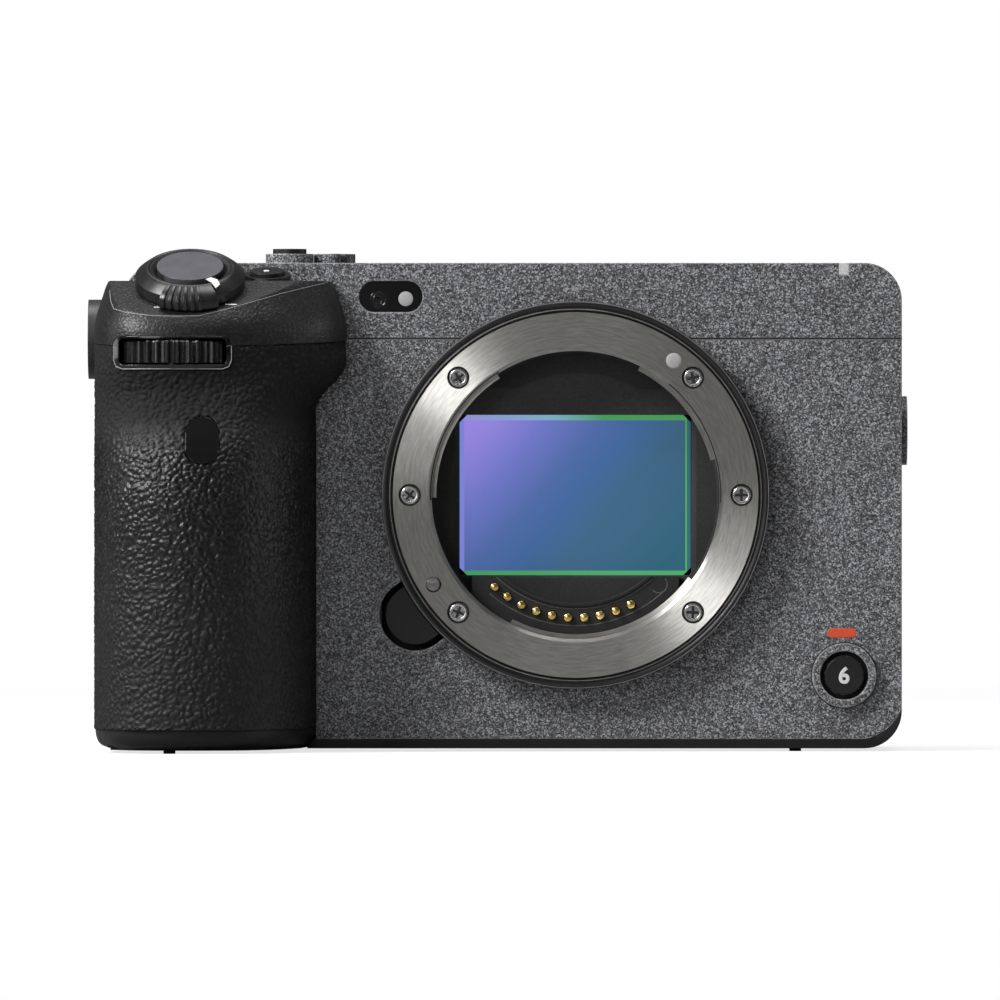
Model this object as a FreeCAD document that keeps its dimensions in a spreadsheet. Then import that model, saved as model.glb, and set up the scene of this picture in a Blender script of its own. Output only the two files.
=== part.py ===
import FreeCAD, Part
import math
import os
import re
import types
from FreeCAD import Placement, Rotation, Vector
from Sketcher import Constraint

# Cinema camera body, lens mount open. X to the right as seen from the front, Y from the lens
# towards the monitor, Z up. The origin is the mouth of the tripod socket, under the optical axis.

doc = FreeCAD.newDocument("CinemaCamera")

# Driving sizes in millimetres

SIZES = [
    # Body
    ("body_height", 77.8, "base to the flat of the top cover"),
    ("body_right", 52.3, "optical axis to the port side wall"),
    ("top_left", 72.5, "optical axis to the left edge of the top cover"),
    ("corner_radius", 6.0, "round of the casing seen from the front"),
    ("wall", 2.0, "casing wall"),
    ("base_band", 1.5, "height of the black bottom cover"),
    ("cover_depth", 12.1, "seam between the front and top covers to the top"),
    ("front_rim", 8.0, "depth of the front cover's rim"),
    ("rear_seam", 20.5, "Y of the seam ahead of the rear cover"),
    ("rear_face", 27.0, "Y of the rear cover behind the monitor"),
    # Lens mount
    ("axis_drop", 37.2, "top of the body to the optical axis"),
    ("sensor_y", -2.0, "Y of the image plane"),
    ("flange_distance", 18.0, "lens flange to the image plane"),
    ("mount_stand_off", 4.0, "lens flange ahead of the front cover"),
    ("throat_radius", 23.05, "clear radius of the mount ahead of its claws"),
    ("throat_chamfer", 0.55, "chamfer at the mouth of the mount"),
    ("mount_radius", 29.25, "outer radius of the bayonet ring"),
    ("flange_thickness", 4.0, "thickness of the bayonet ring"),
    ("claw_radius", 22.3, "inner radius of the bayonet claws"),
    ("claw_front", 1.6, "flange to the front of the claws"),
    ("claw_thickness", 1.5, "thickness of the claws"),
    ("undercut_radius", 24.05, "inner radius of the mount behind the front of its claws"),
    ("trim_radius", 31.05, "outer radius of the trim ring"),
    ("trim_drop", 0.4, "trim ring behind the flange"),
    ("screw_circle", 26.55, "radius of the mount screw circle"),
    ("screw_head_radius", 1.45, "mount screw head"),
    ("screw_seat_radius", 1.8, "seat round a mount screw's head"),
    ("screw_set_back", 0.2, "mount screw's head behind the flange"),
    ("screw_shank_radius", 0.85, "mount screw shank"),
    ("screw_head_height", 0.9, "mount screw head height"),
    ("lock_pin_radius", 1.05, "lens lock pin"),
    ("lock_pin_circle", 26.9, "optical axis to the lock pin"),
    ("lock_angle", 212.0, "place of the lock pin on the mount"),
    ("release_angle", 216.8, "place of the release button on the mount"),
    ("release_reach", 5.3, "release button along the mount's radius"),
    ("release_half_width", 4.7, "release button across the mount's radius"),
    ("release_height", 1.5, "release button above the front cover"),
    ("rim_gap", 1.0, "gap round the release button"),
    ("rim_width", 0.65, "width of the rim round the release button"),
    ("rim_height", 0.9, "rim of the release button above the front cover"),
    # Throat
    ("contact_inner", 17.35, "inner radius of the contact block"),
    ("contact_outer", 22.7, "outer radius of the contact block"),
    ("contact_flange", 23.8, "outer radius of the contact block's front plate"),
    ("contact_plate", 0.6, "thickness of the contact block's front plate"),
    ("contact_half_width", 16.6, "half width of the contact block"),
    ("contact_top", 13.0, "optical axis down to the contact block's upper edge"),
    ("contact_front", 4.0, "lens flange to the contact block"),
    ("contact_depth", 3.7, "depth of the contact block"),
    ("pin_circle", 19.65, "radius of the row of contact pins"),
    ("pin_radius", 0.7, "contact pin"),
    ("pin_proud", 0.9, "contact pin ahead of its block"),
    ("pin_pitch", 7.57, "angle between contact pins"),
    ("pin_start", 228.6, "angle of the first contact pin"),
    ("baffle_radius", 23.85, "light baffle"),
    ("baffle_thickness", 1.6, "light baffle"),
    ("baffle_half_width", 19.3, "half width of the baffle's window"),
    ("baffle_rise", 17.2, "axis to the top of the baffle's window"),
    ("baffle_round", 19.9, "round relief of the baffle's window"),
    # Shutter and sensor
    ("gate_half_width", 18.7, "half width of the shutter gate"),
    ("gate_half_height", 12.9, "half height of the shutter gate"),
    ("shutter_front", -10.5, "Y of the shutter frame's front"),
    ("shutter_depth", 5.0, "shutter frame"),
    ("shutter_top", 20.4, "axis to the top of the shutter frame"),
    ("frame_half_width", 30.7, "half width of the shutter frame and stabiliser base"),
    ("curtain_thickness", 0.6, "shutter curtain"),
    ("curtain_gap", 0.3, "clearance each side of the curtain"),
    ("glass_width", 37.2, "sensor glass"),
    ("glass_height", 25.8, "sensor glass"),
    ("glass_thickness", 2.0, "sensor glass"),
    ("glass_corner", 1.7, "cut corner of the sensor glass"),
    ("glass_gap", 0.3, "sensor glass ahead of the sensor"),
    ("chip_width", 43.0, "sensor package"),
    ("chip_height", 31.0, "sensor package"),
    ("chip_thickness", 2.0, "sensor package"),
    ("stage_thickness", 1.4, "sensor stage, stabiliser carriage"),
    ("stage_gap", 0.3, "between the stabiliser's plates"),
    ("stabiliser_base_depth", 3.0, "stabiliser base"),
    # Grip
    ("grip_left", 77.0, "optical axis to the left of the grip"),
    ("grip_right", 41.6, "X of the grip's right end behind the front plane"),
    ("grip_root", 41.3, "X of the grip's right end at the front plane"),
    ("root_lap", 0.5, "reach of the grip's outline behind the front plane"),
    ("grip_crest", 43.0, "Y ahead of the origin of the grip's crest"),
    ("grip_recess", 5.2, "depth of the finger recess under the dial"),
    ("recess_drop", 9.9, "upper edge of the leather to the middle of the finger recess"),
    ("recess_spread", 6.0, "reach of the finger recess up and down"),
    ("lean_drop", 25.4, "upper edge of the leather to where the grip starts to lean back"),
    ("lean", 4.5, "how far the grip leans back at the leather's upper edge"),
    ("leather_thickness", 0.8, "grip leather"),
    ("leather_base", 3.2, "base to the lower edge of the leather"),
    ("leather_gap", 0.3, "seam to the upper edge of the leather"),
    ("leather_rear", -4.0, "Y of the rear edge of the leather"),
    ("foot_round", 2.8, "round of the grip's base seen from the front"),
    ("hood_drop", 3.0, "flat of the grip's top cover below the top of the body"),
    ("hood_slope", 26.0, "slope of the grip's top in degrees"),
    ("hood_bend", -25.2, "Y where the slope starts"),
    ("hood_right", 36.6, "optical axis to the right edge of the grip's top cover"),
    ("seam_tilt", 3.1, "fall of the hood's seam towards the grip's crest in degrees"),
    ("shoulder_start", 3.5, "upper edge of the leather to where the shoulder draws in"),
    ("shoulder_end", 11.0, "upper edge of the leather to where the shoulder has drawn in"),
    # Controls
    ("dial_x", -64.15, "front dial"),
    ("dial_y", -31.0, "front dial"),
    ("dial_radius", 8.2, "front dial"),
    ("dial_height", 3.6, "front dial"),
    ("dial_drop", 3.8, "upper edge of the leather to the foot of the front dial"),
    ("bezel_width", 19.0, "front dial bezel"),
    ("bezel_drop", 4.9, "upper edge of the leather to the foot of the bezel"),
    ("bezel_rise", 0.45, "top of the bezel above the upper edge of the leather"),
    ("bezel_mouth", 17.2, "width of the bezel's mouth"),
    ("lever_x", -61.5, "zoom lever and shutter button"),
    ("lever_y", -26.85, "zoom lever and shutter button"),
    ("lever_radius", 7.3, "zoom lever at its top"),
    ("lever_skirt", 8.75, "zoom lever at its foot"),
    ("lever_height", 3.1, "zoom lever"),
    ("lever_bore", 5.5, "bore of the zoom lever"),
    ("shutter_button_radius", 5.3, "shutter button"),
    ("shutter_button_proud", 0.3, "shutter button above the zoom lever"),
    ("stem_radius", 1.5, "shutter button's stem"),
    ("running_gap", 0.1, "clearance round a shaft or a stem"),
    ("fit_gap", 0.3, "clearance round doors and buttons"),
    ("iso_x", -49.3, "sensitivity button"),
    ("iso_y", -20.4, "sensitivity button"),
    ("iso_radius", 2.75, "sensitivity button"),
    ("iso_rise", 1.7, "sensitivity button above the grip's top cover"),
    ("balance_x", -45.95, "white balance button"),
    ("balance_y", -5.0, "white balance button"),
    ("balance_radius", 2.7, "white balance button"),
    ("balance_rise", 2.4, "white balance button above the top cover"),
    ("pedestal_radius", 3.85, "pedestal of the white balance button"),
    ("pedestal_height", 1.6, "pedestal above the top cover"),
    ("switch_x", -38.75, "power switch"),
    ("switch_y", -3.0, "power switch"),
    ("switch_radius", 3.35, "power switch"),
    ("record_top_x", -25.0, "top record button"),
    ("record_top_y", 12.0, "top record button"),
    ("record_top_radius", 5.0, "top record button"),
    ("record_x", 43.05, "front record button"),
    ("record_z", 11.7, "front record button"),
    ("record_radius", 3.05, "front record button"),
    ("record_well", 3.9, "well round the front record button"),
    ("record_collar", 5.15, "collar of the front record button"),
    ("record_collar_height", 1.2, "collar above the front cover"),
    ("rear_dial_x", -60.0, "rear dial"),
    ("rear_dial_y", 20.6, "rear dial"),
    ("rear_dial_radius", 9.5, "rear dial"),
    ("rear_dial_drop", 8.8, "top of the body to the foot of the rear dial"),
    ("rear_dial_height", 5.0, "rear dial"),
    ("control_rise", 4.0, "control panel above the rear cover"),
    ("control_right", 29.0, "optical axis to the edge of the control panel"),
    ("wheel_x", -50.0, "control wheel"),
    ("wheel_z", 24.0, "control wheel"),
    ("wheel_radius", 10.5, "control wheel"),
    ("wheel_height", 1.6, "control wheel above the control panel"),
    ("stick_x", -38.5, "joystick"),
    ("stick_drop", 14.7, "seam to the joystick"),
    ("stick_radius", 3.2, "joystick"),
    ("stick_height", 3.2, "joystick above the control panel"),
    ("menu_drop", 6.2, "seam to the menu button"),
    ("playback_z", 8.5, "playback button"),
    ("rear_button_radius", 2.6, "menu and playback buttons"),
    ("rear_button_proud", 0.8, "menu and playback buttons above the panel"),
    ("thumb_reach", 41.5, "Y of the crest of the thumb rest"),
    # Monitor
    ("monitor_left", 27.0, "optical axis to the free edge of the monitor"),
    ("monitor_right", 43.6, "optical axis to the hinged edge of the monitor"),
    ("monitor_base", 6.0, "base to the monitor's lower edge"),
    ("monitor_drop", 1.7, "seam to the monitor's upper edge"),
    ("monitor_thickness", 7.6, "monitor"),
    ("monitor_gap", 0.3, "monitor behind the rear cover"),
    ("screen_margin", 3.5, "edge of the monitor round its screen"),
    ("hinge_x", 48.2, "monitor hinge"),
    ("hinge_radius", 3.6, "monitor hinge barrel"),
    ("hinge_base", 20.0, "base to the monitor's hinge barrel"),
    ("hinge_length", 30.0, "monitor hinge barrel"),
    ("knuckle_length", 6.0, "fixed knuckles of the monitor hinge"),
    ("hinge_pin_radius", 1.4, "monitor hinge pin"),
    # Battery and doors
    ("battery_width", 22.7, "battery, across the grip"),
    ("battery_depth", 38.7, "battery, along the optical axis"),
    ("battery_headroom", 6.6, "top of the battery to the front dial's bezel"),
    ("battery_left", 73.8, "optical axis to the battery"),
    ("battery_front", -32.2, "Y of the battery's front"),
    ("battery_base", 2.2, "base to the battery"),
    ("door_thickness", 1.4, "doors"),
    ("card_door_front", 5.0, "Y of the card door's front edge"),
    ("card_door_rear", 19.6, "Y of the card door's rear edge"),
    ("card_door_base", 12.0, "base to the card door"),
    ("card_door_height", 38.0, "card door"),
    ("port_base", 6.0, "base to the port doors"),
    ("port_drop", 23.7, "seam to the upper edge of the port doors"),
    ("port_split", 6.4, "Y of the bar between the port doors"),
    ("port_front", -6.5, "Y of the front port door's front edge"),
    ("port_rear", 19.3, "Y of the rear port door's rear edge"),
    ("port_bar", 1.6, "bar between the port doors"),
    # Threads, feet, windows
    ("thread_radius", 2.6, "tapped bore of a quarter inch thread"),
    ("socket_radius", 5.2, "tripod socket bush"),
    ("socket_depth", 5.5, "tripod socket bore"),
    ("bush_radius", 4.6, "bushes of the top cover"),
    ("bush_depth", 5.5, "thread depth of the accessory bushes"),
    ("bush_front_y", -7.0, "Y of the front pair of top bushes"),
    ("bush_front_x", 21.0, "optical axis to the front pair of top bushes"),
    ("bush_rear_x", 33.0, "rear top bush"),
    ("bush_rear_y", 16.0, "rear top bush"),
    ("right_boss_radius", 5.55, "boss on the port side"),
    ("right_boss_drop", 14.7, "seam to the boss on the port side"),
    ("right_boss_proud", 1.2, "boss on the port side"),
    ("left_boss_radius", 6.4, "boss on the grip side"),
    ("left_boss_reach", 78.4, "optical axis to the face of the grip side boss"),
    ("left_boss_y", -2.0, "boss on the grip side"),
    ("foot_radius", 0.95, "base foot"),
    ("foot_height", 0.5, "base foot"),
    ("shoe_width", 22.4, "accessory shoe"),
    ("shoe_front", 4.0, "Y of the accessory shoe's front"),
    ("shoe_depth", 3.6, "shoe pocket below the top"),
    ("shoe_throat", 18.6, "clear width between the shoe's rails"),
    ("shoe_mouth", 12.5, "opening between the shoe's lips"),
    ("shoe_lip", 1.5, "thickness of the shoe's lips and plate"),
    ("window_width", 10.2, "oval sensor window"),
    ("window_height", 5.0, "oval sensor window"),
    ("window_x", -29.6, "oval sensor window"),
    ("window_drop", 5.4, "top of the body to the oval sensor window"),
    ("pill_width", 5.3, "receiver window on the grip"),
    ("pill_height", 7.5, "receiver window on the grip"),
    ("pill_x", -59.4, "receiver window on the grip"),
    ("pill_drop", 16.1, "upper edge of the leather to the receiver window"),
    ("tally_x", 43.0, "tally window"),
    ("tally_width", 1.55, "tally window"),
    ("tally_height", 1.9, "tally window"),
    ("tally_depth", 5.0, "tally window along the top"),
    # Fine sizes of the covers
    ("window_gap", 0.05, "clearance round the oval window"),
    ("window_set_back", 0.2, "oval window behind the front plane"),
    ("window_depth", 1.4, "recess of the oval window"),
    ("door_ledge", 1.6, "ledge behind the port doors"),
    ("vent_front", 9.0, "Y of the first vent"),
    ("vent_pitch", 2.6, "pitch of the vents"),
    ("vent_width", 1.3, "width of a vent"),
    ("vent_height", 15.8, "vents"),
    ("vent_drop", 4.7, "seam to the upper end of the vents"),
    ("thumb_half_height", 13.0, "thumb rest"),
    ("thumb_half_width", 8.5, "thumb rest"),
    ("thumb_sink", 3.0, "centre of the thumb rest ahead of the panel"),
    ("thumb_inset", 9.5, "grip's left side to the middle of the thumb rest"),
    ("thumb_z", 48.0, "base to the middle of the thumb rest"),
    ("control_well", 0.8, "depth of the control wheel's and the joystick's wells"),
    ("rear_button_well", 1.2, "depth of the rear buttons' wells"),
    ("card_ledge", 1.6, "ledge behind the card door"),
    ("bezel_round", 1.6, "round of the front dial's bezel"),
    ("rib_notch", 0.35, "radius of the notches between a dial's ribs"),
    ("iso_tilt", 13.0, "lean of the sensitivity button in degrees"),
    ("iso_collar", 1.0, "width of the collar round the sensitivity button"),
    ("iso_collar_depth", 2.9, "foot of the collar below the button's top"),
    ("iso_collar_height", 2.3, "height of the collar"),
    # Fine sizes of the mount and the throat
    ("groove_inner", 0.55, "bayonet ring to the trim ring's first groove"),
    ("groove_outer", 1.15, "bayonet ring to the trim ring's second groove"),
    ("groove_width", 0.24, "grooves of the trim ring"),
    ("sleeve_step", 2.3, "bayonet ring's edge to its sleeve"),
    ("cross_reach", 1.0, "half length of a screw's cross recess"),
    ("cross_width", 0.4, "width of a screw's cross recess"),
    ("cross_depth", 0.55, "depth of a screw's cross recess"),
    ("spring_gap", 0.3, "claws to the leaf springs"),
    ("spring_thickness", 0.3, "leaf springs"),
    ("spring_width", 0.9, "leaf springs"),
    ("lock_pin_proud", 0.6, "lock pin ahead of the flange"),
    ("lock_pin_length", 6.0, "lock pin"),
    ("lip_width", 0.5, "lip of the contact block"),
    ("lip_proud", 0.4, "lip ahead of the contact block"),
    ("pin_depth", 3.1, "contact pins inside their block"),
    ("stabiliser_rim", 3.0, "stabiliser base beyond the sensor stage, above and below"),
    ("stage_half_width", 25.0, "sensor stage"),
    ("stage_half_height", 19.0, "sensor stage"),
    ("carriage_rail", 8.0, "width of the carriage's frame"),
    ("base_rail_across", 12.0, "stabiliser base's upright rails, from the stage's edge"),
    ("base_rail_up", 10.0, "stabiliser base's level rails, from the stage's edge"),
    # Inside
    ("chassis_thickness", 1.6, "chassis plate and walls"),
    ("chassis_clearance", 1.2, "chassis round the mount's throat"),
    ("rail_height", 1.8, "chassis rail above the stabiliser base"),
    ("board_thickness", 1.6, "main board"),
    ("sink_left", 20.0, "optical axis to the heat sink's left edge"),
    ("sink_right", 36.5, "optical axis to the heat sink's right edge"),
    ("sink_base", 10.0, "base to the heat sink"),
    ("sink_top", 48.0, "base to the top of the heat sink"),
    ("sink_depth", 9.0, "heat sink"),
    ("fin_start", 18.6, "optical axis to the first gap between fins"),
    ("fin_pitch", 3.2, "pitch of the fins"),
    ("fan_x", 22.0, "cooling fan"),
    ("fan_z", 38.0, "cooling fan"),
    ("fan_radius", 12.0, "cooling fan"),
    ("fan_hub_radius", 4.5, "cooling fan's hub"),
    ("latch_inset", 1.2, "battery's side to the latch"),
    ("latch_width", 4.0, "battery latch"),
    ("latch_start", 14.0, "battery's front to the latch"),
    ("latch_length", 8.0, "battery latch"),
    ("latch_travel", 2.0, "battery latch"),
    ("jack_radius", 3.2, "round sockets"),
    ("jack_bore", 1.8, "round sockets"),
    ("jack_depth", 12.0, "round sockets"),
    ("socket_shell", 0.5, "shell of the flat sockets"),
    ("socket_length", 10.0, "flat sockets"),
    ("screen_thickness", 1.2, "recess of the screen"),
    # Fine sizes of the controls
    ("tab_width", 9.2, "thumb tab of the zoom lever"),
    ("tab_reach", 1.6, "tab ahead of the lever's skirt"),
    ("tab_notch", 0.35, "radius of the tab's grooves"),
    ("tab_pitch", 1.2, "pitch of the tab's grooves"),
    ("skirt_height", 1.9, "upright wall at the foot of the zoom lever"),
    ("button_seat", 2.1, "lever's foot to the underside of the shutter button"),
    ("wheel_centre", 4.2, "centre boss of the control wheel"),
]

# Values worked out from the driving sizes, as formulas of a second sheet

WORKED = [
    ("seam_height", "body_height - cover_depth"),
    ("axis_height", "body_height - axis_drop"),
    ("hood_height", "body_height - hood_drop"),
    ("leather_top", "seam_height - leather_gap"),
    ("dial_base", "leather_top - dial_drop"),
    ("bezel_base", "leather_top - bezel_drop"),
    ("pill_z", "leather_top - pill_drop"),
    ("battery_height", "bezel_base - battery_headroom - battery_base"),
    ("iso_top", "hood_height + iso_rise"),
    ("balance_top", "body_height + balance_rise"),
    ("rear_dial_base", "body_height - rear_dial_drop"),
    ("window_z", "body_height - window_drop"),
    ("left_boss_z", "seam_height"),
    ("menu_z", "seam_height - menu_drop"),
    ("stick_z", "seam_height - stick_drop"),
    ("right_boss_z", "seam_height - right_boss_drop"),
    ("vent_top", "seam_height - vent_drop"),
    ("vent_base", "vent_top - vent_height"),
    ("port_height", "seam_height - port_drop - port_base"),
    ("monitor_height", "seam_height - monitor_drop - monitor_base"),
    ("flange_y", "sensor_y - flange_distance"),
    ("front_y", "flange_y + mount_stand_off"),
    ("front_seam", "front_y + front_rim"),
    ("core_left", "grip_left - leather_thickness"),
    ("flange_rear", "flange_y + flange_thickness"),
    ("trim_front", "flange_y + trim_drop"),
    ("block_front", "flange_y + contact_front"),
    ("shutter_rear", "shutter_front + shutter_depth"),
    ("curtain_front", "shutter_front + shutter_depth / 2 - curtain_thickness / 2"),
    ("stage_front", "sensor_y + chip_thickness"),
    ("carriage_front", "stage_front + stage_thickness + stage_gap"),
    ("stabiliser_front", "carriage_front + stage_thickness + stage_gap"),
    ("board_front", "stabiliser_front + stabiliser_base_depth + stage_gap"),
    ("control_face", "rear_face + control_rise"),
    ("monitor_front", "rear_face + monitor_gap"),
    ("monitor_rear", "monitor_front + monitor_thickness"),
    ("hinge_y", "monitor_front + monitor_thickness / 2"),
    ("stabiliser_top", "axis_height + stage_half_height + stabiliser_rim"),
    ("chassis_top", "stabiliser_top + fit_gap + rail_height"),
    ("sink_front", "board_front + board_thickness"),
]

sheet = doc.addObject("Spreadsheet::Sheet", "Sizes")
worked = doc.addObject("Spreadsheet::Sheet", "Worked")
SIZE_NAMES = {alias for alias, number, note in SIZES}
WORKED_NAMES = {alias for alias, formula in WORKED}


def bound(text):
    """Expression text with the sheets' names put before their aliases."""
    def owner(match):
        word = match.group()
        if word in SIZE_NAMES:
            return "Sizes." + word
        if word in WORKED_NAMES:
            return "Worked." + word
        return word
    return re.sub(r"[a-z][a-z_]*", owner, str(text))


for row, (alias, number, note) in enumerate(SIZES, start=1):
    sheet.set(f"A{row}", alias)
    sheet.set(f"B{row}", str(number))
    sheet.setAlias(f"B{row}", alias)
    sheet.set(f"C{row}", note)
for row, (alias, formula) in enumerate(WORKED, start=1):
    worked.set(f"A{row}", alias)
    worked.setAlias(f"B{row}", alias)
    own = re.sub("Worked\\.", "", bound(formula))
    worked.set(f"B{row}", "=" + own)
doc.recompute()

v = types.SimpleNamespace()
for alias in SIZE_NAMES:
    setattr(v, alias, float(sheet.get(alias)))
for alias in WORKED_NAMES:
    setattr(v, alias, float(worked.get(alias)))

PIECES = {}
TURNS = {
    "x": Rotation(Vector(0, 1, 0), 90),
    "y": Rotation(Vector(1, 0, 0), -90),
    "z": Rotation(),
}


def unique(name):
    """A document name that no other object has."""
    count = 1
    while doc.getObject(f"{name}_{count}"):
        count += 1
    return f"{name}_{count}"


def bind(item, settings):
    """Bind each property of an object to the sheets."""
    for path, text in settings.items():
        item.setExpression(path, bound(text))
    return item


def move_to(item, place):
    """Bind an object's place to three expressions."""
    bind(item, {f"Placement.Base.{key}": text for key, text in zip("xyz", place)})
    return item


def box(name, xs, ys, zs):
    """A block between two limits on each axis."""
    item = doc.addObject("Part::Box", unique(name))
    lows = [pair[0] for pair in (xs, ys, zs)]
    spans = [f"({pair[1]}) - ({pair[0]})" for pair in (xs, ys, zs)]
    bind(item, dict(zip(("Length", "Width", "Height"), spans)))
    return move_to(item, lows)


def rod(name, axis, radius, base, length, sector=None):
    """A cylinder along an axis; a sector is given as two angles seen along Y, upwards from X."""
    item = doc.addObject("Part::Cylinder", unique(name))
    turn = TURNS[axis]
    if sector:
        turn = turn.multiply(Rotation(Vector(0, 0, 1), -sector[1]))
        item.Angle = sector[1] - sector[0]
    item.Placement = Placement(Vector(), turn)
    bind(item, {"Radius": radius, "Height": length})
    return move_to(item, base)


def ring(name, axis, outer, inner, base, length):
    """A flat ring or a sleeve along an axis."""
    return cut(name, rod(name, axis, outer, base, length), rod(name, axis, inner, base, length))


def join(name, *items):
    """Fuse several objects."""
    if len(items) == 1:
        return items[0]
    item = doc.addObject("Part::MultiFuse", unique(name))
    item.Shapes = list(items)
    item.Refine = True
    return item


def group(name, items):
    """Separate solids that share a node."""
    item = doc.addObject("Part::Compound", unique(name))
    item.Links = list(items)
    return item


def cut(name, base, *tools):
    """Take tools away from a base."""
    item = doc.addObject("Part::Cut", unique(name))
    item.Base = base
    item.Tool = tools[0] if len(tools) == 1 else group(name + "_tools", tools)
    item.Refine = True
    return item


def common(name, first, second):
    """What two objects share."""
    item = doc.addObject("Part::MultiCommon", unique(name))
    item.Shapes = [first, second]
    return item


def made(name, shape):
    """An object whose shape is worked out in code from the sheet's values."""
    item = doc.addObject("Part::Feature", unique(name))
    item.Shape = shape
    item.Placement = Placement()
    return item


def piece(label, item):
    """Name a finished sub-part."""
    item.Label = label
    PIECES[label] = item
    return item


def plane_of(body, axis):
    """The origin plane of a body that is square to an axis."""
    role = {"x": "YZ_Plane", "y": "XZ_Plane", "z": "XY_Plane"}[axis]
    return next(item for item in body.Origin.OriginFeatures if item.Role == role)


def rounded_sketch(body, axis, width, height, radius, numbers):
    """A rounded rectangle about the sketch's centre, its three sizes bound to the sheets."""
    sketch = body.newObject("Sketcher::SketchObject", unique("outline"))
    sketch.AttachmentSupport = [(plane_of(body, axis), "")]
    sketch.MapMode = "FlatFace"
    wide, high, round_radius = numbers
    right = wide / 2
    top = high / 2
    inner_x = right - round_radius
    inner_y = top - round_radius
    ends = [
        (-inner_x, -top, inner_x, -top),
        (right, -inner_y, right, inner_y),
        (inner_x, top, -inner_x, top),
        (-right, inner_y, -right, -inner_y),
    ]
    for ax, ay, bx, by in ends:
        sketch.addGeometry(Part.LineSegment(Vector(ax, ay, 0), Vector(bx, by, 0)))
    centres = [(inner_x, -inner_y), (inner_x, inner_y), (-inner_x, inner_y), (-inner_x, -inner_y)]
    for index, (cx, cy) in enumerate(centres):
        start = math.radians(-90 + 90 * index)
        whole = Part.Circle(Vector(cx, cy, 0), Vector(0, 0, 1), round_radius)
        sketch.addGeometry(Part.ArcOfCircle(whole, start, start + math.pi / 2))
    for side in range(4):
        arc = 4 + side
        sketch.addConstraint(Constraint("Tangent", side, 2, arc, 1))
        sketch.addConstraint(Constraint("Tangent", arc, 2, (side + 1) % 4, 1))
    for side in (0, 2):
        sketch.addConstraint(Constraint("Horizontal", side))
        sketch.addConstraint(Constraint("Vertical", side + 1))
    for arc in (5, 6, 7):
        sketch.addConstraint(Constraint("Equal", 4, arc))
    sketch.addConstraint(Constraint("Symmetric", 4, 3, 6, 3, -1, 1))
    width_row = sketch.addConstraint(Constraint("DistanceX", 3, 1, 1, 1, wide))
    height_row = sketch.addConstraint(Constraint("DistanceY", 0, 1, 2, 2, high))
    radius_row = sketch.addConstraint(Constraint("Radius", 4, round_radius))
    sketch.setExpression(f"Constraints[{width_row}]", bound(width))
    sketch.setExpression(f"Constraints[{height_row}]", bound(height))
    sketch.setExpression(f"Constraints[{radius_row}]", bound(radius))
    return sketch


def reading(text):
    """The number that an expression over the sheets stands for."""
    probe.set("A1", "=" + bound(text))
    probe.recompute()
    return float(probe.get("A1"))


probe = doc.addObject("Spreadsheet::Sheet", "Probe")


def slab(name, axis, across, up, along, radius):
    """A padded rounded rectangle: limits across and up the sketch, and along the axis.

    Seen along Y the sketch has X across and Z up, along X it has Y across and Z up, and
    along Z it has X across and Y up.
    """
    body = doc.addObject("PartDesign::Body", unique(name))
    width = f"({across[1]}) - ({across[0]})"
    height = f"({up[1]}) - ({up[0]})"
    depth = f"({along[1]}) - ({along[0]})"
    numbers = [reading(text) for text in (width, height, radius)]
    sketch = rounded_sketch(body, axis, width, height, radius, numbers)
    pad = body.newObject("PartDesign::Pad", unique("pad"))
    pad.Profile = sketch
    bind(pad, {"Length": depth})
    middle_across = f"(({across[0]}) + ({across[1]})) / 2"
    middle_up = f"(({up[0]}) + ({up[1]})) / 2"
    place = {
        "x": (along[0], middle_across, middle_up),
        "y": (middle_across, along[1], middle_up),
        "z": (middle_across, middle_up, along[0]),
    }[axis]
    body.Tip = pad
    return move_to(body, place)


def on_mount(radius, angle):
    """X and Z expressions of a point on a circle about the optical axis."""
    across = f"({radius}) * cos({angle} * 1 deg)"
    up = f"axis_height + ({radius}) * sin({angle} * 1 deg)"
    return across, up


AXIS = ("0", "axis_height")


# Grip: one plan outline at any height, wider at the shoulder, drawn inwards under the leather

OUTLINE_STATIONS = [0.0, 0.152, 0.287, 0.403, 0.522, 0.638, 0.744, 0.853, 1.0]
ROW_POINTS = 21
grip_start = v.front_y + v.root_lap
FLANK = [(0.0, 0.0), (0.07, 0.36), (0.17, 0.70), (0.31, 0.92), (0.50, 1.0), (0.70, 0.985), (0.87, 0.86),
         (0.965, 0.62), (1.0, 0.30)]
SHOULDER = [(0.0, 0.0), (0.045, 0.33), (0.155, 0.57), (0.305, 0.77), (0.50, 0.94), (0.70, 1.0), (0.87, 0.93),
            (0.965, 0.70), (1.0, 0.30)]

def drawn_in(height):
    """Share of the way from the wide shoulder to the flank below it."""
    below = v.leather_top - height
    share = (below - v.shoulder_start) / (v.shoulder_end - v.shoulder_start)
    share = min(1.0, max(0.0, share))
    return share * share * (3 - 2 * share)


def grip_outline(height, crest, inset):
    """Row of points along the grip's curved front at one height, from its root to its left side."""
    share = drawn_in(height)
    root = v.hood_right + (v.grip_root - v.hood_right) * share
    width = v.grip_left - root
    depth = crest + grip_start
    points = []
    for low, high in zip(FLANK, SHOULDER):
        across = high[0] + (low[0] - high[0]) * share
        ahead = high[1] + (low[1] - high[1]) * share
        points.append(Vector(-root - width * across, grip_start - depth * ahead, height))
    curve = Part.BSplineCurve()
    curve.interpolate(Points=points, Parameters=OUTLINE_STATIONS)
    points = curve.toShape().discretize(ROW_POINTS)
    shifted = []
    for index, point in enumerate(points):
        before = points[max(index - 1, 0)]
        after = points[min(index + 1, len(points) - 1)]
        along = (after - before).normalize()
        inward = Vector(along.y, -along.x, 0)
        if index == 0:
            inward = Vector(-1, 0, 0)
        if index == len(points) - 1:
            inward = Vector(1, 0, 0)
        shifted.append(point + inward * inset)
    return shifted


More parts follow.
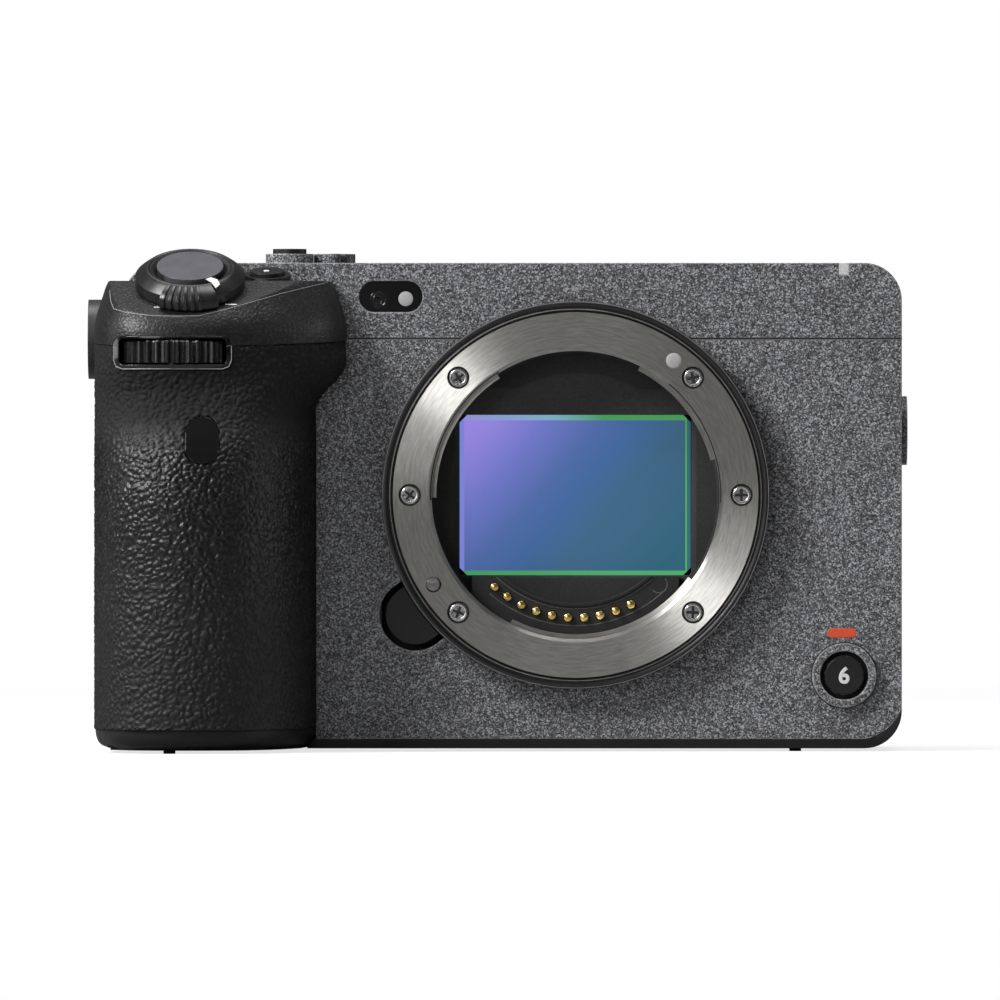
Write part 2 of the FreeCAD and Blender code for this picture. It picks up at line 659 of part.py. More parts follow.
def crest_at(height):
    """How far the grip's front stands ahead of the origin: full low down, hollowed under the dial."""
    below = v.leather_top - height
    hollow = math.exp(-((below - v.recess_drop) / v.recess_spread) ** 2)
    lean = max(0.0, 1 - below / v.lean_drop) * v.lean
    return v.grip_crest - v.grip_recess * hollow * 0.5 - lean


LEVEL_COUNT = 28
LEFT_OUT = -v.grip_left - 5
RIGHT_OUT = Vector(v.grip_left + 10, 0, 0)
crown_front = -v.grip_crest - 5
seam_bend = v.front_y - v.root_lap
seam_fall = math.tan(math.radians(v.seam_tilt)) * (crown_front - seam_bend)
seam_line = [
    Vector(LEFT_OUT, crown_front, 0),
    Vector(LEFT_OUT, crown_front, v.leather_top + seam_fall),
    Vector(LEFT_OUT, seam_bend, v.leather_top),
    Vector(LEFT_OUT, v.rear_face, v.leather_top),
    Vector(LEFT_OUT, v.rear_face, 0),
]
under_seam = made("under_seam", Part.Face(Part.makePolygon(seam_line + seam_line[:1])).extrude(RIGHT_OUT))
behind_shoulder = box("behind_shoulder", ("-grip_right", "0"), ("front_y", "rear_face"), ("0", "body_height"))


def walled(rows):
    """Solid behind a smooth front through rows of points, closed by flat walls, top and bottom."""
    front = Part.BSplineSurface()
    front.interpolate(rows)
    low, high, right, left = front.bounds()
    foot = front.uIso(low).toShape()
    crown_edge = front.uIso(high).toShape()
    foot_z, crown_z = rows[0][0].z, rows[-1][0].z
    left_x = rows[0][-1].x
    back = [
        Vector(-v.grip_root, v.rear_seam, foot_z),
        Vector(left_x, v.rear_seam, foot_z),
        Vector(left_x, v.rear_seam, crown_z),
        Vector(-v.grip_root, v.rear_seam, crown_z),
    ]
    faces = [front.toShape(), Part.Face(Part.makePolygon(back + back[:1]))]
    for edge, row, near, far in ((foot, rows[0], back[1], back[0]), (crown_edge, rows[-1], back[2], back[3])):
        faces.append(Part.Face(Part.Wire([edge, *Part.makePolygon([row[-1], near, far, row[0]]).Edges])))
    for edge, low_end, high_end in ((front.vIso(right), back[0], back[3]), (front.vIso(left), back[1], back[2])):
        faces.append(Part.makeRuledSurface(edge.toShape(), Part.makeLine(low_end, high_end)))
    shell = Part.makeShell(faces)
    shell.sewShape()
    solid = Part.Solid(shell)
    if solid.Volume < 0:
        solid.reverse()
    return solid


def grip_solid(name, inset):
    """Solid of the grip up to the hood's seam, which falls towards the crest."""
    step = (v.leather_top - v.leather_base) / LEVEL_COUNT
    levels = [v.leather_base + step * index for index in range(LEVEL_COUNT + 2)]
    whole = walled([grip_outline(level, crest_at(level), inset) for level in levels])
    return cut(name, common(name + "_low", made(name + "_loft", whole), under_seam), behind_shoulder)


leather_full = grip_solid("leather_full", 0)
core_full = grip_solid("core_full", v.leather_thickness)

# Hood over the grip: its walls lean back and in, and its top slopes down to the front

HOOD_LEVELS = [(-2.4, 0.0, 0.0), (0.0, 0.1, 0.0), (2.4, 0.5, 0.1), (4.6, 1.4, 0.6), (7.0, 2.2, 1.4), (9.6, 3.2, 2.6)]
hood_loft = walled([
    grip_outline(v.leather_top + rise, crest_at(v.leather_top) - back, inset) for rise, back, inset in HOOD_LEVELS
])
crown_fall = math.tan(math.radians(v.hood_slope)) * (crown_front - v.hood_bend)
crown = [
    Vector(LEFT_OUT, crown_front, v.hood_height + crown_fall),
    Vector(LEFT_OUT, v.hood_bend, v.hood_height),
    Vector(LEFT_OUT, v.front_y, v.hood_height),
    Vector(LEFT_OUT, v.front_y, 0),
    Vector(LEFT_OUT, crown_front, 0),
]
crown_solid = Part.Face(Part.makePolygon(crown + crown[:1])).extrude(RIGHT_OUT)
hood_form = cut("hood_form", made("hood_crowned", hood_loft.common(crown_solid)), under_seam)

# Casing: one rounded outline, hollowed, and cut at the seams

SPAN_X = ("-core_left", "body_right")
SPAN_Y = ("front_y", "rear_face")
whole_height = ("0", "body_height")
outline = slab("casing", "y", SPAN_X, whole_height, SPAN_Y, "corner_radius")
hollow = slab(
    "hollow",
    "y",
    ("-core_left + wall", "body_right - wall"),
    ("base_band", "body_height - wall"),
    ("front_y + wall", "rear_face - wall"),
    "corner_radius - wall",
)
shell = cut("shell", outline, hollow)

lower_z = ("base_band", "seam_height")
front_region = box("front_region", ("-grip_right", "body_right"), ("front_y", "front_seam"), lower_z)
side_region = box("side_region", ("0", "body_right"), ("front_seam", "rear_seam"), lower_z)
rear_region = box("rear_region", SPAN_X, ("rear_seam", "rear_face"), lower_z)
throat_hole = rod("throat_hole", "y", "mount_radius - 1", ("0", "front_y - 1", "axis_height"), "wall + 2")

# Front cover with the collar of its record button and the rim of the release button


def release_oval(name, grow, low, high):
    """The half oval of the release button, grown by a margin and standing on the front plane."""
    across, up = on_mount("trim_radius + 0.4", "release_angle")
    body = slab(name, "z", (f"-release_half_width - ({grow})", f"release_half_width + {grow}"),
                (f"-release_reach - ({grow})", f"release_reach + {grow}"), (low, high),
                f"0.98 * (release_half_width + {grow})")
    turn = Rotation(Vector(0, 1, 0), 90 - v.release_angle).multiply(Rotation(Vector(1, 0, 0), 90))
    body.Placement = Placement(Vector(), turn)
    body.setExpression("Placement.Base.x", bound(across))
    body.setExpression("Placement.Base.y", bound(f"front_y - ({low})"))
    body.setExpression("Placement.Base.z", bound(up))
    return body


rim = cut(
    "rim",
    release_oval("rim_outer", "rim_gap + rim_width", "-wall / 2", "rim_height"),
    release_oval("rim_inner", "rim_gap", "-wall", "rim_height + 1"),
    rod(
        "rim_trim",
        "y",
        "trim_radius + running_gap",
        ("0", "front_y - 8", "axis_height"),
        "8 + wall",
    ),
)
release_hole = cut("release_hole", release_oval("release_hole_oval", "rim_gap", "-wall - 1", "1"),
                   rod("release_keep", "y", "trim_radius - 0.6", ("0", "front_y - 8", "axis_height"), "20"))
record_collar = rod(
    "record_collar",
    "y",
    "record_collar",
    ("record_x", "front_y - record_collar_height", "record_z"),
    "record_collar_height + wall / 2",
)
record_well = rod(
    "record_well", "y", "record_well", ("record_x", "front_y - 5", "record_z"), "5 + wall / 2"
)
record_stem_hole = rod(
    "record_stem_hole",
    "y",
    "stem_radius + running_gap",
    ("record_x", "front_y - 5", "record_z"),
    "5 + wall * 2",
)
front_plate = common("front_plate", shell, front_region)
piece("front_cover", cut("front_cover", join("front_joined", front_plate, record_collar, rim), throat_hole,
                         release_hole, record_well, record_stem_hole))

# Top cover: its wall, a tray for the shoe and the rear dial's slot

TOP_X = ("-top_left", "body_right")
top_outline = slab("top_outline", "y", TOP_X, ("seam_height - 20", "body_height"), SPAN_Y, "corner_radius")
top_hollow = slab(
    "top_hollow",
    "y",
    ("-top_left + wall", "body_right - wall"),
    ("seam_height - 30", "body_height - wall"),
    ("front_y + wall", "rear_face - wall"),
    "corner_radius - wall",
)
top_region = box("top_region", TOP_X, SPAN_Y, ("seam_height", "body_height"))
top_wall = common("top_wall", cut("top_shell", top_outline, top_hollow), top_region)
SHOE_X = ("-shoe_width / 2", "shoe_width / 2")
shoe_tray = box(
    "shoe_tray",
    ("-shoe_width / 2 - wall", "shoe_width / 2 + wall"),
    ("shoe_front - wall", "rear_face"),
    ("body_height - shoe_depth - wall", "body_height"),
)
shoe_pocket = box(
    "shoe_pocket",
    SHOE_X,
    ("shoe_front", "rear_face + 1"),
    ("body_height - shoe_depth", "body_height + 1"),
)
pedestal = rod("pedestal", "z", "pedestal_radius", ("balance_x", "balance_y", "body_height - wall"),
               "wall + pedestal_height")


def well(name, radius, x, y, floor, rise, stem):
    """Well for a button on the top, with a hole for its stem in the well's floor."""
    room = rod(name, "z", f"{radius} + fit_gap", (x, y, floor), rise)
    passage = rod(name, "z", f"{stem} + running_gap", (x, y, f"{floor} - 6"), "7")
    return join(name, room, passage)


balance_well = well(
    "balance_well", "balance_radius", "balance_x", "balance_y", "body_height", "10", "stem_radius"
)
switch_hole = rod(
    "switch_hole",
    "z",
    "stem_radius + running_gap",
    ("switch_x", "switch_y", "body_height - 4"),
    "8",
)
record_top_well = well("record_top_well", "record_top_radius", "record_top_x", "record_top_y",
                       "body_height - wall + 0.6", "5", "stem_radius")
rear_dial_slot = rod(
    "rear_dial_slot",
    "z",
    "rear_dial_radius + fit_gap",
    ("rear_dial_x", "rear_dial_y", "rear_dial_base - fit_gap"),
    "rear_dial_height + 2 * fit_gap",
)
rear_dial_post = rod("rear_dial_post", "z", "stem_radius", ("rear_dial_x", "rear_dial_y", "seam_height"),
                     "body_height - wall - seam_height")
BUSH_PLACES = [
    ("-bush_front_x", "bush_front_y"),
    ("bush_front_x", "bush_front_y"),
    ("bush_rear_x", "bush_rear_y"),
]
bush_holes = [rod("bush_hole", "z", "bush_radius", (x, y, "body_height - wall - 1"), "wall + 2")
              for x, y in BUSH_PLACES]
left_boss_room = rod(
    "left_boss_room",
    "x",
    "left_boss_radius",
    ("-left_boss_reach", "left_boss_y", "left_boss_z"),
    "left_boss_reach - top_left + wall + 1",
)
window_hole = slab(
    "window_hole",
    "y",
    ("window_x - window_width / 2", "window_x + window_width / 2"),
    ("window_z - window_height / 2", "window_z + window_height / 2"),
    ("front_y - 1", "front_y + window_depth"),
    "0.49 * window_height",
)
tally_notch = box(
    "tally_notch",
    ("tally_x - tally_width / 2", "tally_x + tally_width / 2"),
    ("front_y - 1", "front_y + tally_depth"),
    ("body_height - tally_height", "body_height + 1"),
)
top_joined = join("top_joined", top_wall, shoe_tray, pedestal)
top_cut = cut(
    "top_cut",
    top_joined,
    shoe_pocket,
    balance_well,
    switch_hole,
    record_top_well,
    rear_dial_slot,
    left_boss_room,
    window_hole,
    tally_notch,
    throat_hole,
    *bush_holes,
)
piece("top_cover", join("top_with_post", top_cut, rear_dial_post))

# Tally and front windows

tally_top = box("tally_top", ("tally_x - tally_width / 2", "tally_x + tally_width / 2"),
                ("front_y", "front_y + tally_depth"), ("body_height - tally_height", "body_height"))
piece("tally_window", tally_top)
oval_window = slab(
    "oval_window",
    "y",
    ("window_x - window_width / 2 + window_gap", "window_x + window_width / 2 - window_gap"),
    ("window_z - window_height / 2 + window_gap", "window_z + window_height / 2 - window_gap"),
    ("front_y + window_set_back", "front_y + window_depth"),
    "0.49 * (window_height - 2 * window_gap)",
)
PILL_X = ("pill_x - pill_width / 2", "pill_x + pill_width / 2")
PILL_Z = ("pill_z - pill_height / 2", "pill_z + pill_height / 2")
pill_room = slab(
    "pill_room", "y", PILL_X, PILL_Z, ("-grip_crest - 1", "-grip_crest + 5"), "0.49 * pill_width"
)
pill_window = common("pill_window", pill_room, leather_full)
piece("front_windows", group("front_windows", [oval_window, pill_window]))

# Bottom cover: the casing's floor and the rounded base of the grip

BASE_LEVELS = [(0.0, 1.0), (0.2, 0.5), (0.4, 0.26), (0.6, 0.16), (0.8, 0.11), (1.0, 0.1)]
base_rows = [grip_outline(v.leather_base * rise, crest_at(0) - 0.6, v.foot_round * share)
             for rise, share in BASE_LEVELS]
grip_base = cut("grip_base", made("grip_base_whole", walled(base_rows)), behind_shoulder)
floor_right = common(
    "floor_right",
    shell,
    box("floor_right_region", ("-grip_right - 1.4", "body_right"), SPAN_Y, ("0", "base_band")),
)
floor_rear = common("floor_rear", shell, box("floor_rear_region", ("-core_left", "-grip_right"),
                                             ("rear_seam - 0.5", "rear_face"), ("0", "base_band")))
BATTERY_X = ("-battery_left", "-battery_left + battery_width")
BATTERY_Y = ("battery_front", "battery_front + battery_depth")


def grown(pair, margin):
    """Limits moved apart by a margin."""
    return f"{pair[0]} - ({margin})", f"{pair[1]} + {margin}"


door_room = box(
    "door_room",
    grown(BATTERY_X, "2 * fit_gap"),
    grown(BATTERY_Y, "2 * fit_gap"),
    ("-1", "leather_base + 1"),
)
socket_hole = rod("socket_hole", "z", "socket_radius", ("0", "0", "-1"), "base_band + 2")
FOOT_PLACES = [("-64.6", "-grip_crest + 5.4"), ("-64.6", "13"), ("35.3", "-11"), ("35.3", "20")]
CASE_SCREWS = [("-30", "-11"), ("-30", "21"), ("46", "-11"), ("46", "21")]
screw_rooms = [
    rod("screw_room", "z", "screw_head_radius", (x, y, "-1"), "1 + screw_head_height")
    for x, y in CASE_SCREWS
]
piece(
    "bottom_cover",
    cut(
        "bottom_cut",
        join("bottom_joined", grip_base, floor_right, floor_rear),
        door_room,
        socket_hole,
        *screw_rooms,
    ),
)
piece(
    "base_feet",
    group(
        "base_feet",
        [
            rod("foot", "z", "foot_radius", (x, y, "-foot_height"), "foot_height")
            for x, y in FOOT_PLACES
        ],
    ),
)

# Side cover on the port side: recesses with ledges for the two doors, vents and a threaded boss


def door_recess(name, low, high):
    """Recess for a port door, with an opening inside a ledge."""
    recess = box(
        name,
        ("body_right - door_thickness - running_gap", "body_right + 1"),
        (f"{low} - fit_gap", f"{high} + fit_gap"),
        ("port_base - fit_gap", "port_base + port_height + fit_gap"),
    )
    opening = box(
        name,
        ("body_right - wall - 1", "body_right"),
        (f"{low} + door_ledge", f"{high} - door_ledge"),
        ("port_base + door_ledge", "port_base + port_height - door_ledge"),
    )
    return join(name, recess, opening)


FRONT_DOOR_Y = ("port_front", "port_split - port_bar / 2")
REAR_DOOR_Y = ("port_split + port_bar / 2", "port_rear")
right_boss = rod("right_boss", "x", "right_boss_radius", ("body_right - wall", "0", "right_boss_z"),
                 "wall + right_boss_proud")
right_boss_bore = rod(
    "right_boss_bore", "x", "bush_radius", ("body_right - wall - 1", "0", "right_boss_z"), "10"
)
VENT_COUNT = 4
vents = [
    slab(
        "vent",
        "x",
        (f"vent_front + {step} * vent_pitch", f"vent_front + vent_width + {step} * vent_pitch"),
        ("vent_base", "vent_top"),
        ("body_right - wall - 1", "body_right + 1"),
        "vent_width / 2 - 0.05",
    )
    for step in range(VENT_COUNT)
]
side_wall = common("side_wall", shell, side_region)
piece(
    "side_cover",
    cut(
        "side_cut",
        join("side_joined", side_wall, right_boss),
        door_recess("front_recess", *FRONT_DOOR_Y),
        door_recess("rear_recess", *REAR_DOOR_Y),
        right_boss_bore,
        *vents,
    ),
)

# Rear cover with its raised control panel, thumb rest and the monitor's fixed knuckles

panel = slab("panel", "y", ("-core_left", "-control_right"), ("base_band", "seam_height"),
             ("rear_face - wall", "control_face"), "corner_radius")
panel_hollow = slab(
    "panel_hollow",
    "y",
    ("-core_left + wall", "-control_right - wall"),
    ("base_band + wall", "seam_height - wall"),
    ("rear_face - wall - 1", "control_face - wall"),
    "corner_radius - wall",
)
thumb = doc.addObject("Part::Ellipsoid", unique("thumb"))
bind(thumb, {"Radius1": "thumb_half_height", "Radius2": "thumb_half_width",
             "Radius3": "thumb_reach - control_face + thumb_sink"})
move_to(thumb, ("-core_left + thumb_inset", "control_face - thumb_sink", "thumb_z"))
thumb_rest = common("thumb_rest", thumb, box("thumb_region", ("-core_left + 1", "-control_right"),
                                             ("control_face - 0.5", "thumb_reach + 1"), lower_z))
LOWER_KNUCKLE = ("hinge_base - fit_gap - knuckle_length", "hinge_base - fit_gap")
UPPER_KNUCKLE = (
    "hinge_base + hinge_length + fit_gap", "hinge_base + hinge_length + fit_gap + knuckle_length"
)
HINGE_LINE = ("hinge_x", "hinge_y")
knuckles = []
for low, high in (LOWER_KNUCKLE, UPPER_KNUCKLE):
    knuckles.append(rod("knuckle", "z", "hinge_radius", (*HINGE_LINE, low), "knuckle_length"))
    knuckles.append(box("knuckle_foot", ("hinge_x - hinge_radius + 0.8", "hinge_x + hinge_radius"),
                        ("rear_face - 0.5", "hinge_y"), (low, high)))
pin_bore = rod(
    "pin_bore",
    "z",
    "hinge_pin_radius + running_gap / 2",
    (*HINGE_LINE, "hinge_base - knuckle_length - 2"),
    "hinge_length + 2 * knuckle_length + 4",
)
WHEEL_BASE = "control_face - control_well"


def rear_well(name, x, radius, z, depth):
    """Well for a control on the rear panel with a passage for its stem."""
    room = rod(name, "y", f"{radius} + fit_gap", (x, f"control_face - {depth}", z), "4")
    passage = rod(name, "y", "stem_radius + running_gap", (x, "control_face - wall - 1", z), "5")
    return join(name, room, passage)


rear_wells = [
    rear_well("wheel_well", "wheel_x", "wheel_radius", "wheel_z", "control_well"),
    rear_well("stick_well", "stick_x", "stick_radius", "stick_z", "control_well"),
    rear_well("menu_well", "stick_x", "rear_button_radius", "menu_z", "rear_button_well"),
    rear_well("playback_well", "stick_x", "rear_button_radius", "playback_z", "rear_button_well"),
]
rear_wall = common("rear_wall", shell, rear_region)
rear_solid = join("rear_solid", rear_wall, panel, thumb_rest, *knuckles)
panel_hollow_cut = cut("panel_hollow_cut", rear_solid, panel_hollow)
piece("rear_cover", cut("rear_cut", panel_hollow_cut, pin_bore, *rear_wells))

# Grip core with the battery bay, the card bay and the room for the front dial

battery_bay = box("battery_bay", grown(BATTERY_X, "fit_gap"), grown(BATTERY_Y, "fit_gap"),
                  ("0", "battery_base + battery_height + fit_gap"))
CARD_DOOR_Y = ("card_door_front", "card_door_rear")
CARD_DOOR_Z = ("card_door_base", "card_door_base + card_door_height")
card_recess = box("card_recess", ("-core_left - 1", "-core_left + door_thickness + running_gap"),
                  grown(CARD_DOOR_Y, "fit_gap"), grown(CARD_DOOR_Z, "fit_gap"))
card_bay = box(
    "card_bay",
    ("-core_left", "-grip_right"),
    ("card_door_front + card_ledge + 0.6", "card_door_rear - card_ledge"),
    ("card_door_base + card_ledge", "card_door_base + card_door_height - card_ledge"),
)
BEZEL_X = ("dial_x - bezel_width / 2", "dial_x + bezel_width / 2")
bezel_slab = slab(
    "bezel_slab",
    "y",
    BEZEL_X,
    ("bezel_base", "leather_top + bezel_rise"),
    ("-grip_crest - 1", "dial_y + dial_radius + 2"),
    "bezel_round",
)
piece(
    "grip_core",
    cut(
        "core_cut",
        core_full,
        battery_bay,
        card_recess,
        card_bay,
        bezel_slab,
        pill_room,
        left_boss_room,
    ),
)

# Leather over the front and the left side of the core

skin = cut("skin", leather_full, core_full)
skin_rear = box("skin_rear", ("-grip_left - 1", "0"), ("leather_rear", "rear_face"), ("0", "body_height"))
skin_root = box("skin_root", ("-60", "0"), ("front_y", "rear_face"), ("0", "body_height"))
piece("grip_leather", cut("leather_cut", skin, skin_rear, skin_root, bezel_slab, pill_room, left_boss_room))

# Front dial in its glossy bezel

grip_form = join("grip_form", leather_full, hood_form)
bezel_block = common("bezel_block", bezel_slab, grip_form)
bezel_mouth = slab(
    "bezel_mouth",
    "y",
    ("dial_x - bezel_mouth / 2", "dial_x + bezel_mouth / 2"),
    ("dial_base - fit_gap", "dial_base + dial_height + fit_gap"),
    ("-grip_crest - 2", "dial_y"),
    "bezel_round / 2",
)
dial_room = rod("dial_room", "z", "dial_radius + fit_gap", ("dial_x", "dial_y", "dial_base - fit_gap"),
                "dial_height + 2 * fit_gap")
dial_post = rod(
    "dial_post",
    "z",
    "stem_radius",
    ("dial_x", "dial_y", "bezel_base + 0.2"),
    "leather_top - bezel_base - 0.2",
)
bezel_cut = cut("bezel_cut", bezel_block, dial_room, bezel_mouth)
piece(
    "front_dial_bezel",
    join("bezel_joined", bezel_cut, common("dial_post_trim", dial_post, grip_form)),
)
DIAL_RIBS = 33
REAR_DIAL_RIBS = 36


def ribbed_wheel(name, x, y, base, radius, height, count):
    """Wheel about an upright axle with round notches between its ribs."""
    disc = rod(name, "z", radius, (x, y, base), height)
    bore = rod(name, "z", "stem_radius + running_gap / 2", (x, y, base), height)
    notches = []
    for step in range(count):
        angle = 360 / count * step
        notches.append(
            rod(
                name + "_notch",
                "z",
                "rib_notch",
                (
                    f"{x} + {radius} * cos({angle} * 1 deg)",
                    f"{y} + {radius} * sin({angle} * 1 deg)",
                    base,
                ),
                height,
            ),
        )
    return cut(name, disc, bore, *notches)


piece(
    "front_dial",
    ribbed_wheel("front_dial", "dial_x", "dial_y", "dial_base", "dial_radius", "dial_height", DIAL_RIBS),
)
piece(
    "rear_dial",
    ribbed_wheel(
        "rear_dial",
        "rear_dial_x",
        "rear_dial_y",
        "rear_dial_base",
        "rear_dial_radius",
        "rear_dial_height",
        REAR_DIAL_RIBS,
    ),
)

# Grip top cover: the hood that carries the zoom lever

hood_hollow = box("hood_hollow", ("-grip_left + 5", "-grip_right - 9.5"), ("-30", "front_y - wall"),
                  ("leather_top - 1", "leather_top + 3"))
LEVER_BASE_Z = "hood_height - (hood_bend - lever_y) * tan(hood_slope * 1 deg)"


def tilted(item, x, y, z, angle):
    """Lean a sub-part forward about the X axis and set it on its seat."""
    item.Placement = Placement(Vector(), Rotation(Vector(1, 0, 0), v.hood_slope))
    bind(item, {"Placement.Rotation.Angle": angle})
    return move_to(item, (x, y, z))


stem_hole = tilted(rod("stem_hole", "z", "stem_radius + running_gap", ("0", "0", "0"), "12"),
                   "lever_x", "lever_y + 5 * sin(hood_slope * 1 deg)",
                   f"{LEVER_BASE_Z} - 5 * cos(hood_slope * 1 deg)", "hood_slope")


def iso_part(name, radius, low, length):
    """Rod on the leaning axis of the sensitivity button, from a depth below its top."""
    return tilted(
        rod(name, "z", radius, ("0", "0", "0"), length),
        "iso_x",
        f"iso_y - ({low}) * sin(iso_tilt * 1 deg)",
        f"iso_top + ({low}) * cos(iso_tilt * 1 deg)",
        "iso_tilt",
    )


iso_collar = iso_part("iso_collar", "iso_radius + iso_collar", "-iso_collar_depth", "iso_collar_height")
iso_well = iso_part("iso_well", "iso_radius + running_gap", "-1.9", "3")
iso_stem_hole = iso_part("iso_stem_hole", "stem_radius * 0.6 + running_gap", "-6", "5")
hood = join("hood", hood_form, iso_collar)
piece(
    "grip_top_cover",
    cut("hood_cut", hood, hood_hollow, stem_hole, iso_well, iso_stem_hole, bezel_slab),
)

# Lens mount: trim ring, bayonet ring with claws, screws, springs, lock pin and release button

GROOVES = ["mount_radius + groove_inner", "mount_radius + groove_outer"]
trim = ring(
    "trim",
    "y",
    "trim_radius",
    "mount_radius + 0.05",
    ("0", "trim_front", "axis_height"),
    "front_y - trim_front",
)
groove_cuts = [
    ring(
        "groove",
        "y",
        f"{radius} + groove_width / 2",
        f"{radius} - groove_width / 2",
        ("0", "trim_front - 1", "axis_height"),
        "1.2",
    )
    for radius in GROOVES
]
piece("mount_trim_ring", cut("trim_cut", trim, *groove_cuts))

SCREW_ANGLES = [0, 45, 135, 180, 225, 315]
CLAWS = [(123, 181), (14.4, 63.4), (243, 324)]
ring_disc = rod("ring_disc", "y", "mount_radius", (AXIS[0], "flange_y", AXIS[1]), "flange_thickness")
ring_sleeve = rod("ring_sleeve", "y", "mount_radius - sleeve_step", (AXIS[0], "flange_rear - 0.5", AXIS[1]),
                  "front_y + wall - flange_rear + 0.5")
throat = rod("throat", "y", "throat_radius", (AXIS[0], "flange_y - 1", AXIS[1]), "12")
mouth = doc.addObject("Part::Cone", unique("mouth"))
mouth.Placement = Placement(Vector(), TURNS["y"])
bind(mouth, {"Radius1": "throat_radius + throat_chamfer", "Radius2": "throat_radius", "Height": "throat_chamfer"})
move_to(mouth, (AXIS[0], "flange_y", AXIS[1]))
undercut = rod("undercut", "y", "undercut_radius", (AXIS[0], "flange_y + claw_front", AXIS[1]), "12")
claws = []
for start, stop in CLAWS:
    sector = rod(
        "claw",
        "y",
        "undercut_radius + 0.4",
        (AXIS[0], "flange_y + claw_front", AXIS[1]),
        "claw_thickness",
        (start, stop),
    )
    claws.append(
        cut(
            "claw",
            sector,
            rod("claw_bore", "y", "claw_radius", (AXIS[0], "flange_y", AXIS[1]), "6"),
        ),
    )
screw_holes = []
for angle in SCREW_ANGLES:
    across, up = on_mount("screw_circle", angle)
    screw_holes.append(rod("screw_seat", "y", "screw_seat_radius", (across, "flange_y - 1", up),
                           "screw_head_height + screw_set_back + 1"))
    screw_holes.append(
        rod("screw_hole", "y", "screw_shank_radius + 0.05", (across, "flange_y - 1", up), "12")
    )
lock_across, lock_up = on_mount("lock_pin_circle", "lock_angle")
lock_hole = rod(
    "lock_hole", "y", "lock_pin_radius + running_gap", (lock_across, "flange_y - 1", lock_up), "12"
)
ring_body = join(
    "ring_body",
    cut("ring_cut", join("ring_joined", ring_disc, ring_sleeve), throat, mouth, undercut),
    *claws,
)
piece("lens_mount_ring", cut("ring_drilled", ring_body, lock_hole, *screw_holes))


def cross_screw(across, up):
    """Mount screw: flat head with a cross recess, on a shank."""
    head = rod("screw_head", "y", "screw_head_radius", (across, "flange_y + screw_set_back", up),
               "screw_head_height")
    shank = rod(
        "screw_shank",
        "y",
        "screw_shank_radius",
        (across, "flange_y + screw_set_back", up),
        "front_y - flange_y + 4.2",
    )
    arm_long = box(
        "arm",
        (f"{across} - cross_reach", f"{across} + cross_reach"),
        ("flange_y - 1", "flange_y + screw_set_back + cross_depth"),
        (f"{up} - cross_width / 2", f"{up} + cross_width / 2"),
    )
    arm_tall = box(
        "arm",
        (f"{across} - cross_width / 2", f"{across} + cross_width / 2"),
        ("flange_y - 1", "flange_y + screw_set_back + cross_depth"),
        (f"{up} - cross_reach", f"{up} + cross_reach"),
    )
    return cut("screw", join("screw_joined", head, shank), arm_long, arm_tall)


piece(
    "mount_screws",
    group(
        "mount_screws", [cross_screw(*on_mount("screw_circle", angle)) for angle in SCREW_ANGLES]
    ),
)

SPRING_ARCS = [(128, 176), (19, 59), (249, 319)]
springs = []
for start, stop in SPRING_ARCS:
    leaf = rod(
        "leaf",
        "y",
        "undercut_radius",
        (AXIS[0], "flange_y + claw_front + claw_thickness + spring_gap", AXIS[1]),
        "spring_thickness",
        (start, stop),
    )
    springs.append(
        cut(
            "leaf",
            leaf,
            rod("leaf_bore", "y", "undercut_radius - spring_width", (AXIS[0], "flange_y", AXIS[1]), "12"),
        ),
    )
piece("mount_springs", group("mount_springs", springs))

piece(
    "lens_lock_pin",
    rod(
        "lock_pin",
        "y",
        "lock_pin_radius",
        (lock_across, "flange_y - lock_pin_proud", lock_up),
        "lock_pin_length",
    ),
)
release_blank = release_oval("release", "0", "-wall - 0.6", "release_height")
release_trim = rod(
    "release_trim", "y", "trim_radius + running_gap", ("0", "front_y - 8", "axis_height"), "20"
)
piece("lens_release_button", cut("release_cut", release_blank, release_trim))

# Contact block and its ten pins: a crescent with a level upper edge and a thin front plate

PIN_COUNT = 10
block_region = box("block_region", ("-contact_half_width", "contact_half_width"), ("flange_y", "0"),
                   ("0", "axis_height - contact_top"))
plate_ring = ring("plate_ring", "y", "contact_flange", "contact_inner",
                  (AXIS[0], "block_front", AXIS[1]), "contact_plate")
deep_ring = ring("deep_ring", "y", "contact_outer", "contact_inner",
                 (AXIS[0], "block_front", AXIS[1]), "contact_depth")
block_lip = ring("block_lip", "y", "contact_inner + lip_width", "contact_inner",
                 (AXIS[0], "block_front - lip_proud", AXIS[1]), "lip_proud + 0.5")
crescent = common("crescent", join("block_rings", plate_ring, deep_ring, block_lip), block_region)
pin_places = [on_mount("pin_circle", f"(pin_start + {step} * pin_pitch)") for step in range(PIN_COUNT)]
pin_holes = [
    rod("pin_hole", "y", "pin_radius + 0.05", (across, "block_front - 1", up), "8")
    for across, up in pin_places
]
piece("contact_block", cut("block_drilled", crescent, *pin_holes))


def contact_pin(across, up):
    """Sprung pin with a rounded tip."""
    shank = rod("pin", "y", "pin_radius", (across, "block_front - pin_proud + pin_radius / 2", up),
                "pin_proud - pin_radius / 2 + pin_depth")
    tip = doc.addObject("Part::Ellipsoid", unique("pin_tip"))
    bind(tip, {"Radius1": "pin_radius", "Radius2": "pin_radius", "Radius3": "pin_radius / 2"})
    move_to(tip, (across, "block_front - pin_proud + pin_radius / 2", up))
    return join("contact_pin", shank, tip)


piece("contact_pins", group("contact_pins", [contact_pin(*place) for place in pin_places]))

# Light baffle, shutter and sensor

